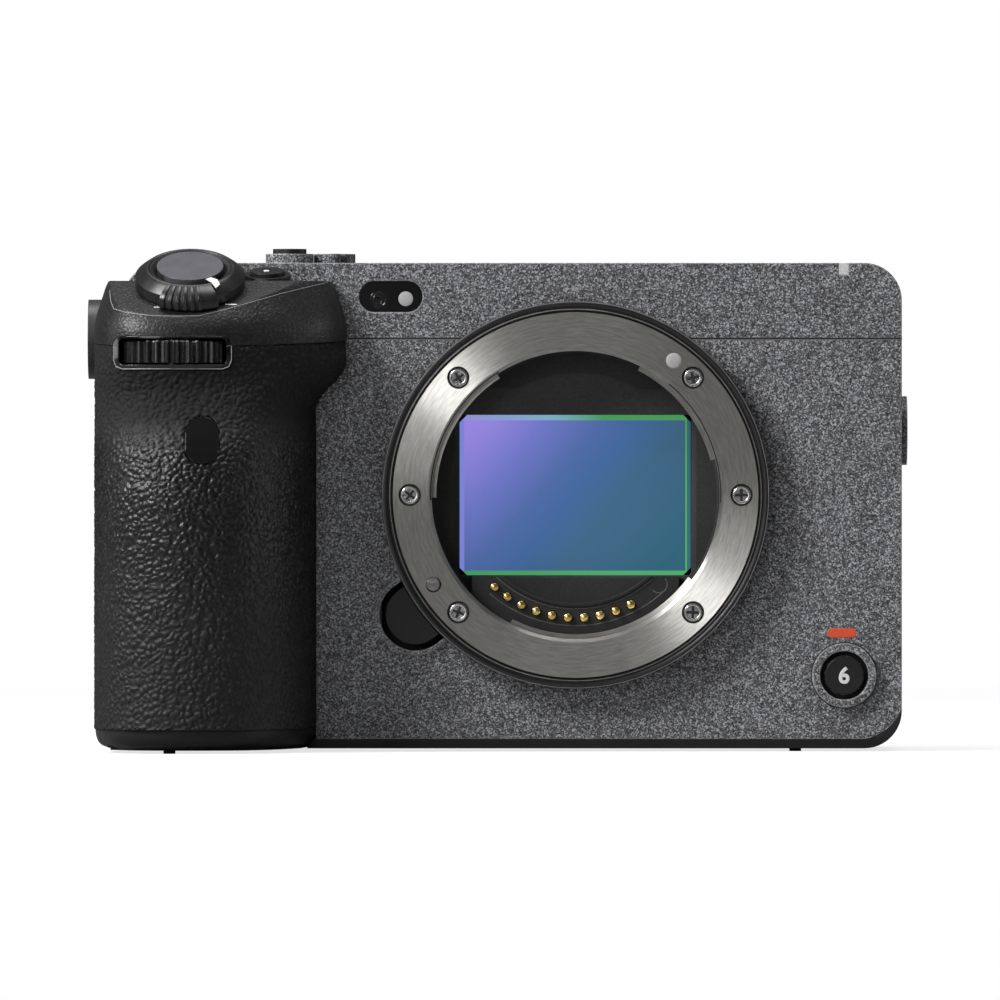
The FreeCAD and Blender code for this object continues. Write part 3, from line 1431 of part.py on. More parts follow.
baffle_disc = rod(
    "baffle_disc",
    "y",
    "baffle_radius",
    (AXIS[0], "shutter_front - baffle_thickness", AXIS[1]),
    "baffle_thickness",
)
baffle_window = slab(
    "baffle_window",
    "y",
    ("-baffle_half_width", "baffle_half_width"),
    ("axis_height - gate_half_height - 0.3", "axis_height + baffle_rise"),
    ("-20", "0"),
    "0.8",
)
baffle_relief = rod("baffle_relief", "y", "baffle_round", (AXIS[0], "-20", AXIS[1]), "20")
relief_limit = box("relief_limit", ("-baffle_half_width / 2", "baffle_half_width / 2"), ("-20", "0"),
                   ("axis_height", "body_height"))
baffle_skirt = ring("baffle_skirt", "y", "baffle_radius", "baffle_radius - 1",
                    (AXIS[0], "block_front + contact_plate", AXIS[1]),
                    "shutter_front - block_front - contact_plate")
piece("light_baffle", join("baffle", cut("baffle_cut", baffle_disc, baffle_window,
                                         common("relief", baffle_relief, relief_limit)), baffle_skirt))

FRAME_X = ("-frame_half_width", "frame_half_width")
GATE_X = ("-gate_half_width", "gate_half_width")
GATE_Z = ("axis_height - gate_half_height", "axis_height + gate_half_height")
CURTAIN_X = ("-gate_half_width - 1.3", "gate_half_width + 1.3")
curtain_top = "axis_height - gate_half_height - 0.3"
frame_block = slab("frame_block", "y", FRAME_X, ("base_band + 0.3", "axis_height + shutter_top"),
                   ("shutter_front", "shutter_rear"), "1.5")
gate = slab("gate", "y", GATE_X, GATE_Z, ("shutter_front - 1", "shutter_rear + 1"), "0.6")
curtain_slot = box("curtain_slot", grown(CURTAIN_X, "0.2"),
                   ("curtain_front - curtain_gap", "curtain_front + curtain_thickness + curtain_gap"),
                   ("base_band + 0.6", "axis_height + gate_half_height + 1.2"))
piece("shutter_frame", cut("frame_cut", frame_block, gate, curtain_slot))
piece("shutter_curtain", box("curtain", CURTAIN_X, ("curtain_front", "curtain_front + curtain_thickness"),
                             ("base_band + 0.9", curtain_top)))

glass_front = "sensor_y - glass_gap - glass_thickness"
GLASS_X = ("-glass_width / 2", "glass_width / 2")
GLASS_Z = ("axis_height - glass_height / 2", "axis_height + glass_height / 2")
glass = box("glass", GLASS_X, (glass_front, f"{glass_front} + glass_thickness"), GLASS_Z)
corner_cuts = []
for side_x in (-1, 1):
    for side_z in (-1, 1):
        corner = box("corner", ("0", "glass_corner"), ("0", "10"), ("0", "glass_corner"))
        corner.Placement = Placement(Vector(), Rotation(Vector(0, 1, 0), 45))
        corner_cuts.append(
            move_to(
                corner,
                (
                    f"{side_x} * glass_width / 2 - glass_corner * 0.7071",
                    f"{glass_front} - 1",
                    f"axis_height + {side_z} * glass_height / 2",
                ),
            ),
        )
piece("sensor_glass", cut("glass_cut", glass, *corner_cuts))
chip = box("chip", ("-chip_width / 2", "chip_width / 2"), ("sensor_y", "stage_front"),
           ("axis_height - chip_height / 2", "axis_height + chip_height / 2"))
spacer_y = ("sensor_y - glass_gap", "sensor_y")
spacer_outer = box("spacer_outer", GLASS_X, spacer_y, GLASS_Z)
spacer_inner = box(
    "spacer_inner", grown(GLASS_X, "-1"), ("sensor_y - 1", "sensor_y + 1"), grown(GLASS_Z, "-1")
)
piece("image_sensor", join("sensor", chip, cut("spacer", spacer_outer, spacer_inner)))
STAGE_X = ("-stage_half_width", "stage_half_width")
STAGE_Z = ("axis_height - stage_half_height", "axis_height + stage_half_height")
piece(
    "sensor_stage",
    slab("stage", "y", STAGE_X, STAGE_Z, ("stage_front", "stage_front + stage_thickness"), "2"),
)
carriage_blank = slab("carriage_blank", "y", grown(STAGE_X, "2"), grown(STAGE_Z, "1"),
                      ("carriage_front", "carriage_front + stage_thickness"), "2")
carriage_window = slab(
    "carriage_window",
    "y",
    grown(STAGE_X, "-carriage_rail"),
    grown(STAGE_Z, "-carriage_rail"),
    ("carriage_front - 1", "carriage_front + 4"),
    "2",
)
piece("stabiliser_carriage", cut("carriage_cut", carriage_blank, carriage_window))
base_blank = slab("base_blank", "y", FRAME_X, grown(STAGE_Z, "stabiliser_rim"),
                  ("stabiliser_front", "stabiliser_front + stabiliser_base_depth"), "2")
base_window = slab("base_window", "y", grown(STAGE_X, "-base_rail_across"), grown(STAGE_Z, "-base_rail_up"),
                   ("stabiliser_front - 1", "stabiliser_front + 6"), "2")
piece("stabiliser_base", cut("stabiliser_cut", base_blank, base_window))

# Chassis: a plate behind the front cover, two side walls and a floor

chassis_rear = "board_front"
chassis_front = "front_y + wall + 0.2"
plate = slab(
    "plate",
    "y",
    grown(FRAME_X, "6"),
    ("base_band + 3", "chassis_top"),
    (chassis_front, f"{chassis_front} + chassis_thickness"),
    "3",
)
plate_hole = rod("plate_hole", "y", "throat_radius + chassis_clearance", ("0", "-20", "axis_height"), "20")
lock_room = rod("lock_room", "y", "lock_pin_radius + 0.3", (lock_across, "-20", lock_up), "20")
walls = [
    box(
        "chassis_wall",
        (
            f"{side} * (frame_half_width + 0.3 + chassis_thickness / 2) - chassis_thickness / 2",
            f"{side} * (frame_half_width + 0.3 + chassis_thickness / 2) + chassis_thickness / 2",
        ),
        (chassis_front, chassis_rear),
        ("base_band", "chassis_top"),
    )
    for side in (-1, 1)
]
shank_rooms = [rod("shank_room", "y", "screw_shank_radius + 0.05", (across, "-20", up), "20")
               for across, up in (on_mount("screw_circle", angle) for angle in SCREW_ANGLES)]
chassis_release = release_oval("chassis_release", "rim_gap + 0.3", "-6", "0")
rail = box(
    "chassis_rail",
    grown(FRAME_X, "2"),
    (f"{chassis_rear} - 3", chassis_rear),
    ("chassis_top - rail_height", "chassis_top"),
)
chassis = join("chassis_joined", plate, *walls, rail)
piece("chassis", cut("chassis_cut", chassis, plate_hole, lock_room, chassis_release, *shank_rooms))

board = slab(
    "board",
    "y",
    ("-grip_right + 2", "body_right - wall - 3"),
    ("base_band + 4", "seam_height - 2"),
    ("board_front", "board_front + board_thickness"),
    "2",
)
chips = [
    box(
        "board_chip",
        (f"{x} - 6", f"{x} + 6"),
        ("board_front + 1", "board_front + 2.6"),
        (f"{z} - 6", f"{z} + 6"),
    )
    for x, z in (("-26", "20"), ("-26", "38"), ("-10", "54"))
]
piece("main_board", join("board_joined", board, *chips))
sink_blank = box("sink_blank", ("-sink_left", "sink_right"), ("sink_front", "sink_front + sink_depth"),
                 ("sink_base", "sink_top"))
fan_pocket = rod("fan_pocket", "y", "fan_radius + 0.8", ("fan_x", "sink_front + 1.2", "fan_z"), "12")
FIN_COUNT = 8
fins = [
    box(
        "fin_gap",
        (f"-fin_start + {step} * fin_pitch", f"-fin_start + fin_pitch / 2 + {step} * fin_pitch"),
        ("sink_front + 1.5", "sink_front + 12"),
        ("8", "60"),
    )
    for step in range(FIN_COUNT)
]
air_duct = box(
    "air_duct",
    ("fan_x", "60"),
    ("sink_front + 1.2", "sink_front + 12"),
    ("fan_z + 2", "fan_z + 12"),
)
fan_post = rod("fan_post", "y", "stem_radius", ("fan_x", "sink_front + 0.5", "fan_z"), "7.5")
piece("heat_sink", join("sink_joined", cut("sink_cut", sink_blank, fan_pocket, air_duct, *fins), fan_post))
hub = rod("fan_hub", "y", "fan_hub_radius", ("fan_x", "sink_front + 1.8", "fan_z"), "6.5")
rotor_plate = rod("rotor_plate", "y", "fan_radius", ("fan_x", "sink_front + 1.8", "fan_z"), "0.8")
blades = []
BLADE_COUNT = 11
for step in range(BLADE_COUNT):
    blade = box("blade", ("4", "fan_radius - 0.2"), ("0", "5.5"), ("-0.4", "0.4"))
    blade.Placement = Placement(Vector(), Rotation(Vector(0, 1, 0), 360 / BLADE_COUNT * step))
    angle = 360 / BLADE_COUNT * step
    blades.append(
        move_to(
            blade,
            (
                f"fan_x + 4 * cos({angle} * 1 deg) - 0.4 * sin({angle} * 1 deg)",
                "sink_front + 1.8",
                f"fan_z - 4 * sin({angle} * 1 deg) - 0.4 * cos({angle} * 1 deg)",
            ),
        ),
    )
fan_bore = rod("fan_bore", "y", "stem_radius + running_gap / 2", ("fan_x", "sink_front + 1", "fan_z"), "9")
piece("cooling_fan", cut("fan_cut", join("fan_joined", hub, rotor_plate, *blades), fan_bore))

# Battery, its door with the latch, card slots and the card door

piece(
    "battery",
    slab(
        "battery",
        "z",
        BATTERY_X,
        BATTERY_Y,
        ("battery_base", "battery_base + battery_height"),
        "1.5",
    ),
)
DOOR_AXIS_X = "-battery_left + battery_width + fit_gap - door_thickness / 2"
DOOR_AXIS_Z = "door_thickness / 2"
door_y = grown(BATTERY_Y, "fit_gap")
door_leaf = box("door_leaf", ("-battery_left - fit_gap", DOOR_AXIS_X), door_y, ("0", "door_thickness"))
door_barrel = rod("door_barrel", "y", "door_thickness / 2", (DOOR_AXIS_X, door_y[0], DOOR_AXIS_Z),
                  "battery_depth + 2 * fit_gap")
LATCH_X = ("-battery_left + latch_inset", "-battery_left + latch_inset + latch_width")
LATCH_Y = ("battery_front + latch_start", "battery_front + latch_start + latch_length")
latch_room = box(
    "latch_room",
    grown(LATCH_X, "running_gap"),
    (f"{LATCH_Y[0]} - 0.2", f"{LATCH_Y[1]} + latch_travel + 0.2"),
    ("-1", "0.8"),
)
piece("battery_door", cut("door_cut", join("door_joined", door_leaf, door_barrel), latch_room))
piece("battery_latch", box("latch", LATCH_X, LATCH_Y, ("-0.1", "0.7")))

CARD_AXIS_Y = "card_door_rear - door_thickness / 2"
card_leaf = box(
    "card_leaf",
    ("-core_left", "-core_left + door_thickness"),
    ("card_door_front", CARD_AXIS_Y),
    CARD_DOOR_Z,
)
card_barrel = rod(
    "card_barrel",
    "z",
    "door_thickness / 2",
    ("-core_left + door_thickness / 2", CARD_AXIS_Y, "card_door_base"),
    "card_door_height",
)
piece("card_door", join("card_door_joined", card_leaf, card_barrel))
slots_blank = box(
    "slots_blank",
    ("-core_left + 3.5", "-core_left + 35"),
    ("card_door_front + 2.5", "card_door_rear - 2"),
    ("card_door_base + 6", "card_door_base + card_door_height - 5"),
)
card_slots = [
    box(
        "card_slot",
        ("-core_left + 1", "-core_left + 34"),
        (f"card_door_front + {start}", f"card_door_front + {start} + 2.3"),
        ("card_door_base + 6.8", "card_door_base + card_door_height - 6.8"),
    )
    for start in ("4.2", "8.6")
]
cards = [
    box(
        "card",
        ("-core_left + 4.5", "-core_left + 34.2"),
        (f"card_door_front + {start} + 0.1", f"card_door_front + {start} + 2.2"),
        ("card_door_base + 7", "card_door_base + card_door_height - 7"),
    )
    for start in ("4.2", "8.6")
]
piece("card_slots", group("card_slots", [cut("slots_cut", slots_blank, *card_slots)] + cards))

# Port doors and sockets


def port_door(name, low, high, hinged_low):
    """Door with its hinge barrel along the front or the rear edge."""
    half = "door_thickness / 2"
    hinge = f"{low} + {half}" if hinged_low else f"{high} - {half}"
    limits = (hinge, high) if hinged_low else (low, hinge)
    leaf = box(
        name,
        ("body_right - door_thickness", "body_right"),
        limits,
        ("port_base", "port_base + port_height"),
    )
    barrel = rod(name, "z", half, (f"body_right - {half}", hinge, "port_base"), "port_height")
    return join(name, leaf, barrel)


piece("port_door_front", port_door("front_door", *FRONT_DOOR_Y, True))
piece("port_door_rear", port_door("rear_door", *REAR_DOOR_Y, False))
socket_face = "body_right - wall - 0.6"


def jack(y, z):
    """Round socket with a 3.5 millimetre bore, and the room it takes in its carrier plate."""
    body = rod("jack", "x", "jack_radius", (f"{socket_face} - jack_depth", y, z), "jack_depth")
    room = rod("jack_room", "x", "jack_radius", (f"{socket_face} - jack_depth", y, z),
               "jack_depth + 2")
    bore = rod("jack_bore", "x", "jack_bore", (f"{socket_face} - jack_depth + 1", y, z), "14")
    return cut("jack", body, bore), room


def flat_socket(y, z, width, height, tongue):
    """Rectangular socket standing upright with a contact tongue, and its room in the plate."""
    outer_y = (f"{y} - {height} / 2 - socket_shell", f"{y} + {height} / 2 + socket_shell")
    outer_z = (f"{z} - {width} / 2 - socket_shell", f"{z} + {width} / 2 + socket_shell")
    outer = slab("flat_socket", "x", outer_y, outer_z, (f"{socket_face} - socket_length", socket_face), "1")
    room = slab(
        "flat_room",
        "x",
        outer_y,
        outer_z,
        (f"{socket_face} - socket_length", f"{socket_face} + 2"),
        "1",
    )
    mouth = slab(
        "flat_mouth",
        "x",
        (f"{y} - {height} / 2", f"{y} + {height} / 2"),
        (f"{z} - {width} / 2", f"{z} + {width} / 2"),
        (f"{socket_face} - socket_length + 1", f"{socket_face} + 1"),
        "0.8",
    )
    blade = box(
        "tongue",
        (f"{socket_face} - socket_length + 0.5", f"{socket_face} - 1"),
        (f"{y} - {tongue} / 2", f"{y} + {tongue} / 2"),
        (f"{z} - {width} / 2 + 1.5", f"{z} + {width} / 2 - 1.5"),
    )
    return join("flat_socket", cut("flat_socket", outer, mouth), blade), room


def port_level(share):
    """Height of a socket in thirty-sixths of the door's height."""
    return f"(port_base + port_height * {share} / 36)"


PORT_FRONT_MIDDLE = "(port_front + port_split) / 2 - 0.4"
PORT_REAR_MIDDLE = "(port_rear + port_split) / 2 + 0.4"
sockets = [
    jack(PORT_FRONT_MIDDLE, port_level(8)),
    jack(PORT_FRONT_MIDDLE, port_level(18)),
    flat_socket(PORT_FRONT_MIDDLE, port_level(28), "8.4", "2.6", "0.8"),
    flat_socket(PORT_REAR_MIDDLE, port_level(12), "14", "4.4", "1.2"),
    flat_socket(PORT_REAR_MIDDLE, port_level(27), "7.6", "2.4", "0.8"),
]
socket_plate = box(
    "socket_plate",
    ("body_right - wall - 1", "body_right - wall"),
    ("port_front", "port_rear"),
    ("port_base", "port_base + port_height"),
)
socket_carrier = cut("socket_carrier", socket_plate, *[room for body, room in sockets])
piece("port_sockets", group("port_sockets", [body for body, room in sockets] + [socket_carrier]))

# Monitor

MONITOR_X = ("-monitor_left", "monitor_right")
MONITOR_Z = ("monitor_base", "monitor_base + monitor_height")
monitor_blank = slab("monitor_blank", "y", MONITOR_X, MONITOR_Z, ("monitor_front", "monitor_rear"), "2.5")
screen_x = grown(MONITOR_X, "-screen_margin")
screen_z = grown(MONITOR_Z, "-screen_margin")
screen_room = slab(
    "screen_room", "y", screen_x, screen_z, ("monitor_rear - screen_thickness", "monitor_rear + 1"), "1.5"
)
arm = box("monitor_arm", ("monitor_right - 2", "hinge_x"), ("hinge_y - 2.2", "hinge_y + 2.2"),
          ("hinge_base + 1", "hinge_base + hinge_length - 1"))
arm_room = box("arm_room", ("monitor_right - 2.1", "monitor_right + 1"), ("hinge_y - 2.3", "hinge_y + 2.3"),
               ("hinge_base + 0.9", "hinge_base + hinge_length - 0.9"))
piece("monitor_panel", cut("monitor_cut", monitor_blank, screen_room, arm_room))
piece("monitor_screen", slab("screen", "y", grown(screen_x, "-0.05"), grown(screen_z, "-0.05"),
                             ("monitor_rear - screen_thickness", "monitor_rear - 0.1"), "1.45"))
barrel = rod("hinge_barrel", "z", "hinge_radius", (*HINGE_LINE, "hinge_base"), "hinge_length")
hinge_pin = rod("hinge_pin", "z", "hinge_pin_radius", (*HINGE_LINE, "hinge_base - knuckle_length"),
                "hinge_length + 2 * knuckle_length")
piece("monitor_hinge", join("hinge_joined", barrel, hinge_pin, arm))

# Zoom lever and shutter button on the hood's slope


def on_slope(item, lift):
    """Stand a sub-part on the sloping top, a distance above it along the lever's axis."""
    return tilted(item, "lever_x", f"lever_y - ({lift}) * sin(hood_slope * 1 deg)",
                  f"{LEVER_BASE_Z} + ({lift}) * cos(hood_slope * 1 deg)", "hood_slope")


LEVER_GAP = "running_gap"
lever_drum = rod("lever_drum", "z", "lever_skirt", ("0", "0", "0"), "skirt_height")
lever_cone = doc.addObject("Part::Cone", unique("lever_cone"))
bind(lever_cone, {"Radius1": "lever_skirt", "Radius2": "lever_radius", "Height": "lever_height - skirt_height"})
move_to(lever_cone, ("0", "0", "skirt_height"))
lever_bore = rod("lever_bore", "z", "lever_bore", ("0", "0", "1"), "lever_height")
lever_stem = rod("lever_stem_bore", "z", "stem_radius + running_gap", ("0", "0", "-1"), "lever_height")
tab = slab(
    "tab",
    "z",
    ("-tab_width / 2", "tab_width / 2"),
    ("-lever_skirt - tab_reach", "-lever_radius + 1"),
    ("0", "lever_height"),
    "1.2",
)
TAB_GROOVES = 7
tab_grooves = [
    rod(
        "tab_groove",
        "z",
        "tab_notch",
        (f"({step} - 3) * tab_pitch", "-lever_skirt - tab_reach - 0.1", "-1"),
        "lever_height + 2",
    )
    for step in range(TAB_GROOVES)
]
lever = cut(
    "lever_cut",
    join("lever_joined", lever_cone, lever_drum, tab),
    lever_bore,
    lever_stem,
    *tab_grooves,
)
piece("zoom_lever", on_slope(lever, LEVER_GAP))
button_disc = rod(
    "button_disc",
    "z",
    "shutter_button_radius",
    ("0", "0", "0"),
    "lever_height - button_seat + shutter_button_proud",
)
button_stem = rod("button_stem", "z", "stem_radius", ("0", "0", "-6"), "6.5")
piece(
    "shutter_button",
    on_slope(join("button_joined", button_disc, button_stem), f"{LEVER_GAP} + button_seat"),
)

# Buttons and the power switch on top

iso_disc = rod("iso_disc", "z", "iso_radius", ("0", "0", "-1.2"), "1.2")
iso_stem = rod("iso_stem", "z", "stem_radius * 0.6", ("0", "0", "-4.5"), "4")
piece("iso_button", tilted(join("iso_joined", iso_disc, iso_stem), "iso_x", "iso_y", "iso_top", "iso_tilt"))
balance_disc = rod("balance_disc", "z", "balance_radius", ("balance_x", "balance_y", "body_height + 0.6"),
                   "balance_top - body_height - 0.6")
balance_stem = rod(
    "balance_stem", "z", "stem_radius", ("balance_x", "balance_y", "body_height - 3.6"), "4.4"
)
piece("white_balance_button", join("balance_joined", balance_disc, balance_stem))
switch_disc = rod(
    "switch_disc",
    "z",
    "switch_radius",
    ("switch_x", "switch_y", "body_height + running_gap"),
    "pedestal_height - running_gap",
)
switch_tab = slab(
    "switch_tab",
    "z",
    ("switch_x - 0.9", "switch_x + 0.9"),
    ("switch_y - switch_radius - 1.6", "switch_y"),
    ("body_height + running_gap", "body_height + pedestal_height"),
    "0.6",
)
switch_stem = rod("switch_stem", "z", "stem_radius", ("switch_x", "switch_y", "body_height - 3.6"), "4.4")
piece("power_switch", join("switch_joined", switch_disc, switch_tab, switch_stem))
record_top_disc = rod(
    "record_top_disc",
    "z",
    "record_top_radius",
    ("record_top_x", "record_top_y", "body_height - 0.9"),
    "0.8",
)
record_top_stem = rod(
    "record_top_stem",
    "z",
    "stem_radius",
    ("record_top_x", "record_top_y", "body_height - 4.5"),
    "4",
)
piece("top_record_button", join("record_top_joined", record_top_disc, record_top_stem))
record_disc = rod(
    "record_disc",
    "y",
    "record_radius",
    ("record_x", "front_y - record_collar_height + 0.2", "record_z"),
    "1.2",
)
record_stem = rod("record_stem", "y", "stem_radius", ("record_x", "front_y - 0.5", "record_z"), "3.2")
piece("front_record_button", join("record_joined", record_disc, record_stem))

# Controls on the rear panel

wheel_disc = rod("wheel_disc", "y", "wheel_radius", ("wheel_x", f"{WHEEL_BASE} + running_gap", "wheel_z"),
                 "wheel_height + control_well - running_gap")
wheel_dish = ring(
    "wheel_dish",
    "y",
    "wheel_radius - 2",
    "wheel_centre",
    ("wheel_x", "control_face + wheel_height - 0.5", "wheel_z"),
    "2",
)
wheel_stem = rod(
    "wheel_stem", "y", "stem_radius", ("wheel_x", "control_face - wall - 0.6", "wheel_z"), "2.5"
)
piece("control_wheel", join("wheel_joined", cut("wheel_cut", wheel_disc, wheel_dish), wheel_stem))
stick_cap = rod(
    "stick_cap",
    "y",
    "stick_radius",
    ("stick_x", "control_face + stick_height - 1.2", "stick_z"),
    "1.2",
)
stick_neck = rod(
    "stick_neck",
    "y",
    "stem_radius - 0.3",
    ("stick_x", "control_face - 0.6", "stick_z"),
    "stick_height",
)
piece("joystick", join("stick_joined", stick_cap, stick_neck))


def rear_button(name, z):
    """Round button on the rear panel."""
    disc = rod(
        name,
        "y",
        "rear_button_radius",
        ("stick_x", "control_face - 0.6", z),
        "0.6 + rear_button_proud",
    )
    stem = rod(name, "y", "stem_radius", ("stick_x", "control_face - wall - 0.6", z), "2.2")
    return join(name, disc, stem)


piece("menu_button", rear_button("menu", "menu_z"))
piece("playback_button", rear_button("playback", "playback_z"))

# Accessory shoe, tripod socket, bushes and screws

shoe_floor = "body_height - shoe_depth"
shoe_plate = box(
    "shoe_plate",
    grown(SHOE_X, "-0.1"),
    ("shoe_front + 0.1", "rear_face"),
    (shoe_floor, f"{shoe_floor} + shoe_lip - 0.3"),
)
shoe_walls = []
for side in (-1, 1):
    inner = "shoe_throat / 2"
    outer = "(shoe_width / 2 - 0.1)"
    mouth = "shoe_mouth / 2"
    wall_x = (f"-{outer}", f"-{inner}") if side < 0 else (inner, outer)
    lip_x = (f"-{outer}", f"-{mouth}") if side < 0 else (mouth, outer)
    shoe_walls.append(
        box("shoe_wall", wall_x, ("shoe_front + 0.1", "rear_face"), (shoe_floor, "body_height"))
    )
    shoe_walls.append(
        box(
            "shoe_lip",
            lip_x,
            ("shoe_front + 0.1", "rear_face"),
            ("body_height - 0.9", "body_height"),
        ),
    )
piece("accessory_shoe", join("shoe_joined", shoe_plate, *shoe_walls))
socket_blank = rod("socket_blank", "z", "socket_radius", ("0", "0", "0"), "socket_depth + 1")
socket_bore = rod("socket_bore", "z", "thread_radius", ("0", "0", "-1"), "socket_depth + 1")
piece("tripod_socket", cut("socket_cut", socket_blank, socket_bore))


def bush(axis, base, length, bore_base, radius="bush_radius"):
    """Threaded bush with a blind bore."""
    return cut(
        "bush",
        rod("bush", axis, radius, base, length),
        rod("bush_bore", axis, "thread_radius", bore_base, "bush_depth + 1"),
    )


bushes = [
    bush(
        "z",
        (x, y, "body_height - bush_depth - 1"),
        "bush_depth + 1",
        (x, y, "body_height - bush_depth"),
    )
    for x, y in BUSH_PLACES
]
RIGHT_FACE = "body_right + right_boss_proud"
bushes.append(bush("x", (f"{RIGHT_FACE} - bush_depth - 1", "0", "right_boss_z"), "bush_depth + 1",
                   (f"{RIGHT_FACE} - bush_depth", "0", "right_boss_z")))
bushes.append(
    bush(
        "x",
        ("-left_boss_reach", "left_boss_y", "left_boss_z"),
        "left_boss_reach - top_left + wall",
        ("-left_boss_reach - 1", "left_boss_y", "left_boss_z"),
        "left_boss_radius",
    ),
)
piece("thread_bushes", group("thread_bushes", bushes))


def case_screw(x, y):
    """Small countersunk casing screw in the base."""
    head = rod("case_head", "z", "screw_head_radius - 0.05", (x, y, "0.1"), "screw_head_height - 0.1")
    arms = [
        box(
            "case_arm",
            (f"{x} - {wide}", f"{x} + {wide}"),
            (f"{y} - {deep}", f"{y} + {deep}"),
            ("-1", "0.5"),
        )
        for wide, deep in (("0.9", "0.2"), ("0.2", "0.9"))
    ]
    return cut("case_screw", head, *arms)


piece("case_screws", group("case_screws", [case_screw(x, y) for x, y in CASE_SCREWS]))

# Export

doc.recompute()
bad = [item.Name for item in doc.Objects if "Invalid" in item.State or "Error" in item.State]
if bad:
    raise RuntimeError(f"objects that failed: {bad}")
for label, item in PIECES.items():
    if item.Shape.isNull() or not item.Shape.isValid():
        raise RuntimeError(f"{label} has no valid shape")
    if not item.Shape.Solids:
        raise RuntimeError(f"{label} has no solid")

os.makedirs("parts", exist_ok=True)
for label, item in PIECES.items():
    item.Shape.exportStep(f"parts/{label}.step")
print(len(PIECES), "sub-parts written")
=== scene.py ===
"""Looks of the cinema camera: materials, small trim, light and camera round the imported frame."""
import math

import bmesh
import bpy
from mathutils import Matrix, Vector, noise


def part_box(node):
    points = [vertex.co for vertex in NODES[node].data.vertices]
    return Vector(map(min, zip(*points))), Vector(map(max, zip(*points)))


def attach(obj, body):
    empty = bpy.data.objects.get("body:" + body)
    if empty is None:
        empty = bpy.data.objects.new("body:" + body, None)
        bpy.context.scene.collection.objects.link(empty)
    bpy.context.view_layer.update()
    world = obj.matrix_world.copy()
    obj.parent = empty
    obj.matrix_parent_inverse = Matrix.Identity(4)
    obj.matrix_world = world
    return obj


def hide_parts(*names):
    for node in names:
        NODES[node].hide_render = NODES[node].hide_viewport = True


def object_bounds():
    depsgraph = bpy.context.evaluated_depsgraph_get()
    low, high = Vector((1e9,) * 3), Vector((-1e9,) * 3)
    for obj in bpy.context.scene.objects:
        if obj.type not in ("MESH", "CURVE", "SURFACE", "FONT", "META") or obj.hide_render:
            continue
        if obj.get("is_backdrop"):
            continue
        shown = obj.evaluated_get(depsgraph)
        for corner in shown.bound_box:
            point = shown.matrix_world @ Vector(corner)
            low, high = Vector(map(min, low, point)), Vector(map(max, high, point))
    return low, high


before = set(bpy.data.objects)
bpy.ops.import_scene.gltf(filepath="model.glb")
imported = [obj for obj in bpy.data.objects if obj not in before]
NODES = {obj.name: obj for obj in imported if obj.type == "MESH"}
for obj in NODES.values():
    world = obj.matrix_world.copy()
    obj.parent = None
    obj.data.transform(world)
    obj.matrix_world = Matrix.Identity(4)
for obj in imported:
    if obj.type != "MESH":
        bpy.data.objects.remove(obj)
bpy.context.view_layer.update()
MM = 0.001
AXIS_Z = 40.6
FRONT_Y = -16.0
FLANGE_Y = -20.0


def mm(x, y, z):
    """A point given in millimetres, in metres."""
    return Vector((x, y, z)) * MM


def srgb(red, green, blue):
    """A colour given as display values from 0 to 255, as linear light with alpha."""
    linear = []
    for value in (red, green, blue):
        share = value / 255
        linear.append(share / 12.92 if share <= 0.04045 else ((share + 0.055) / 1.055) ** 2.4)
    return (*linear, 1.0)


def grey(value):
    """The same for a neutral tone."""
    return srgb(value, value, value)


# Node graphs


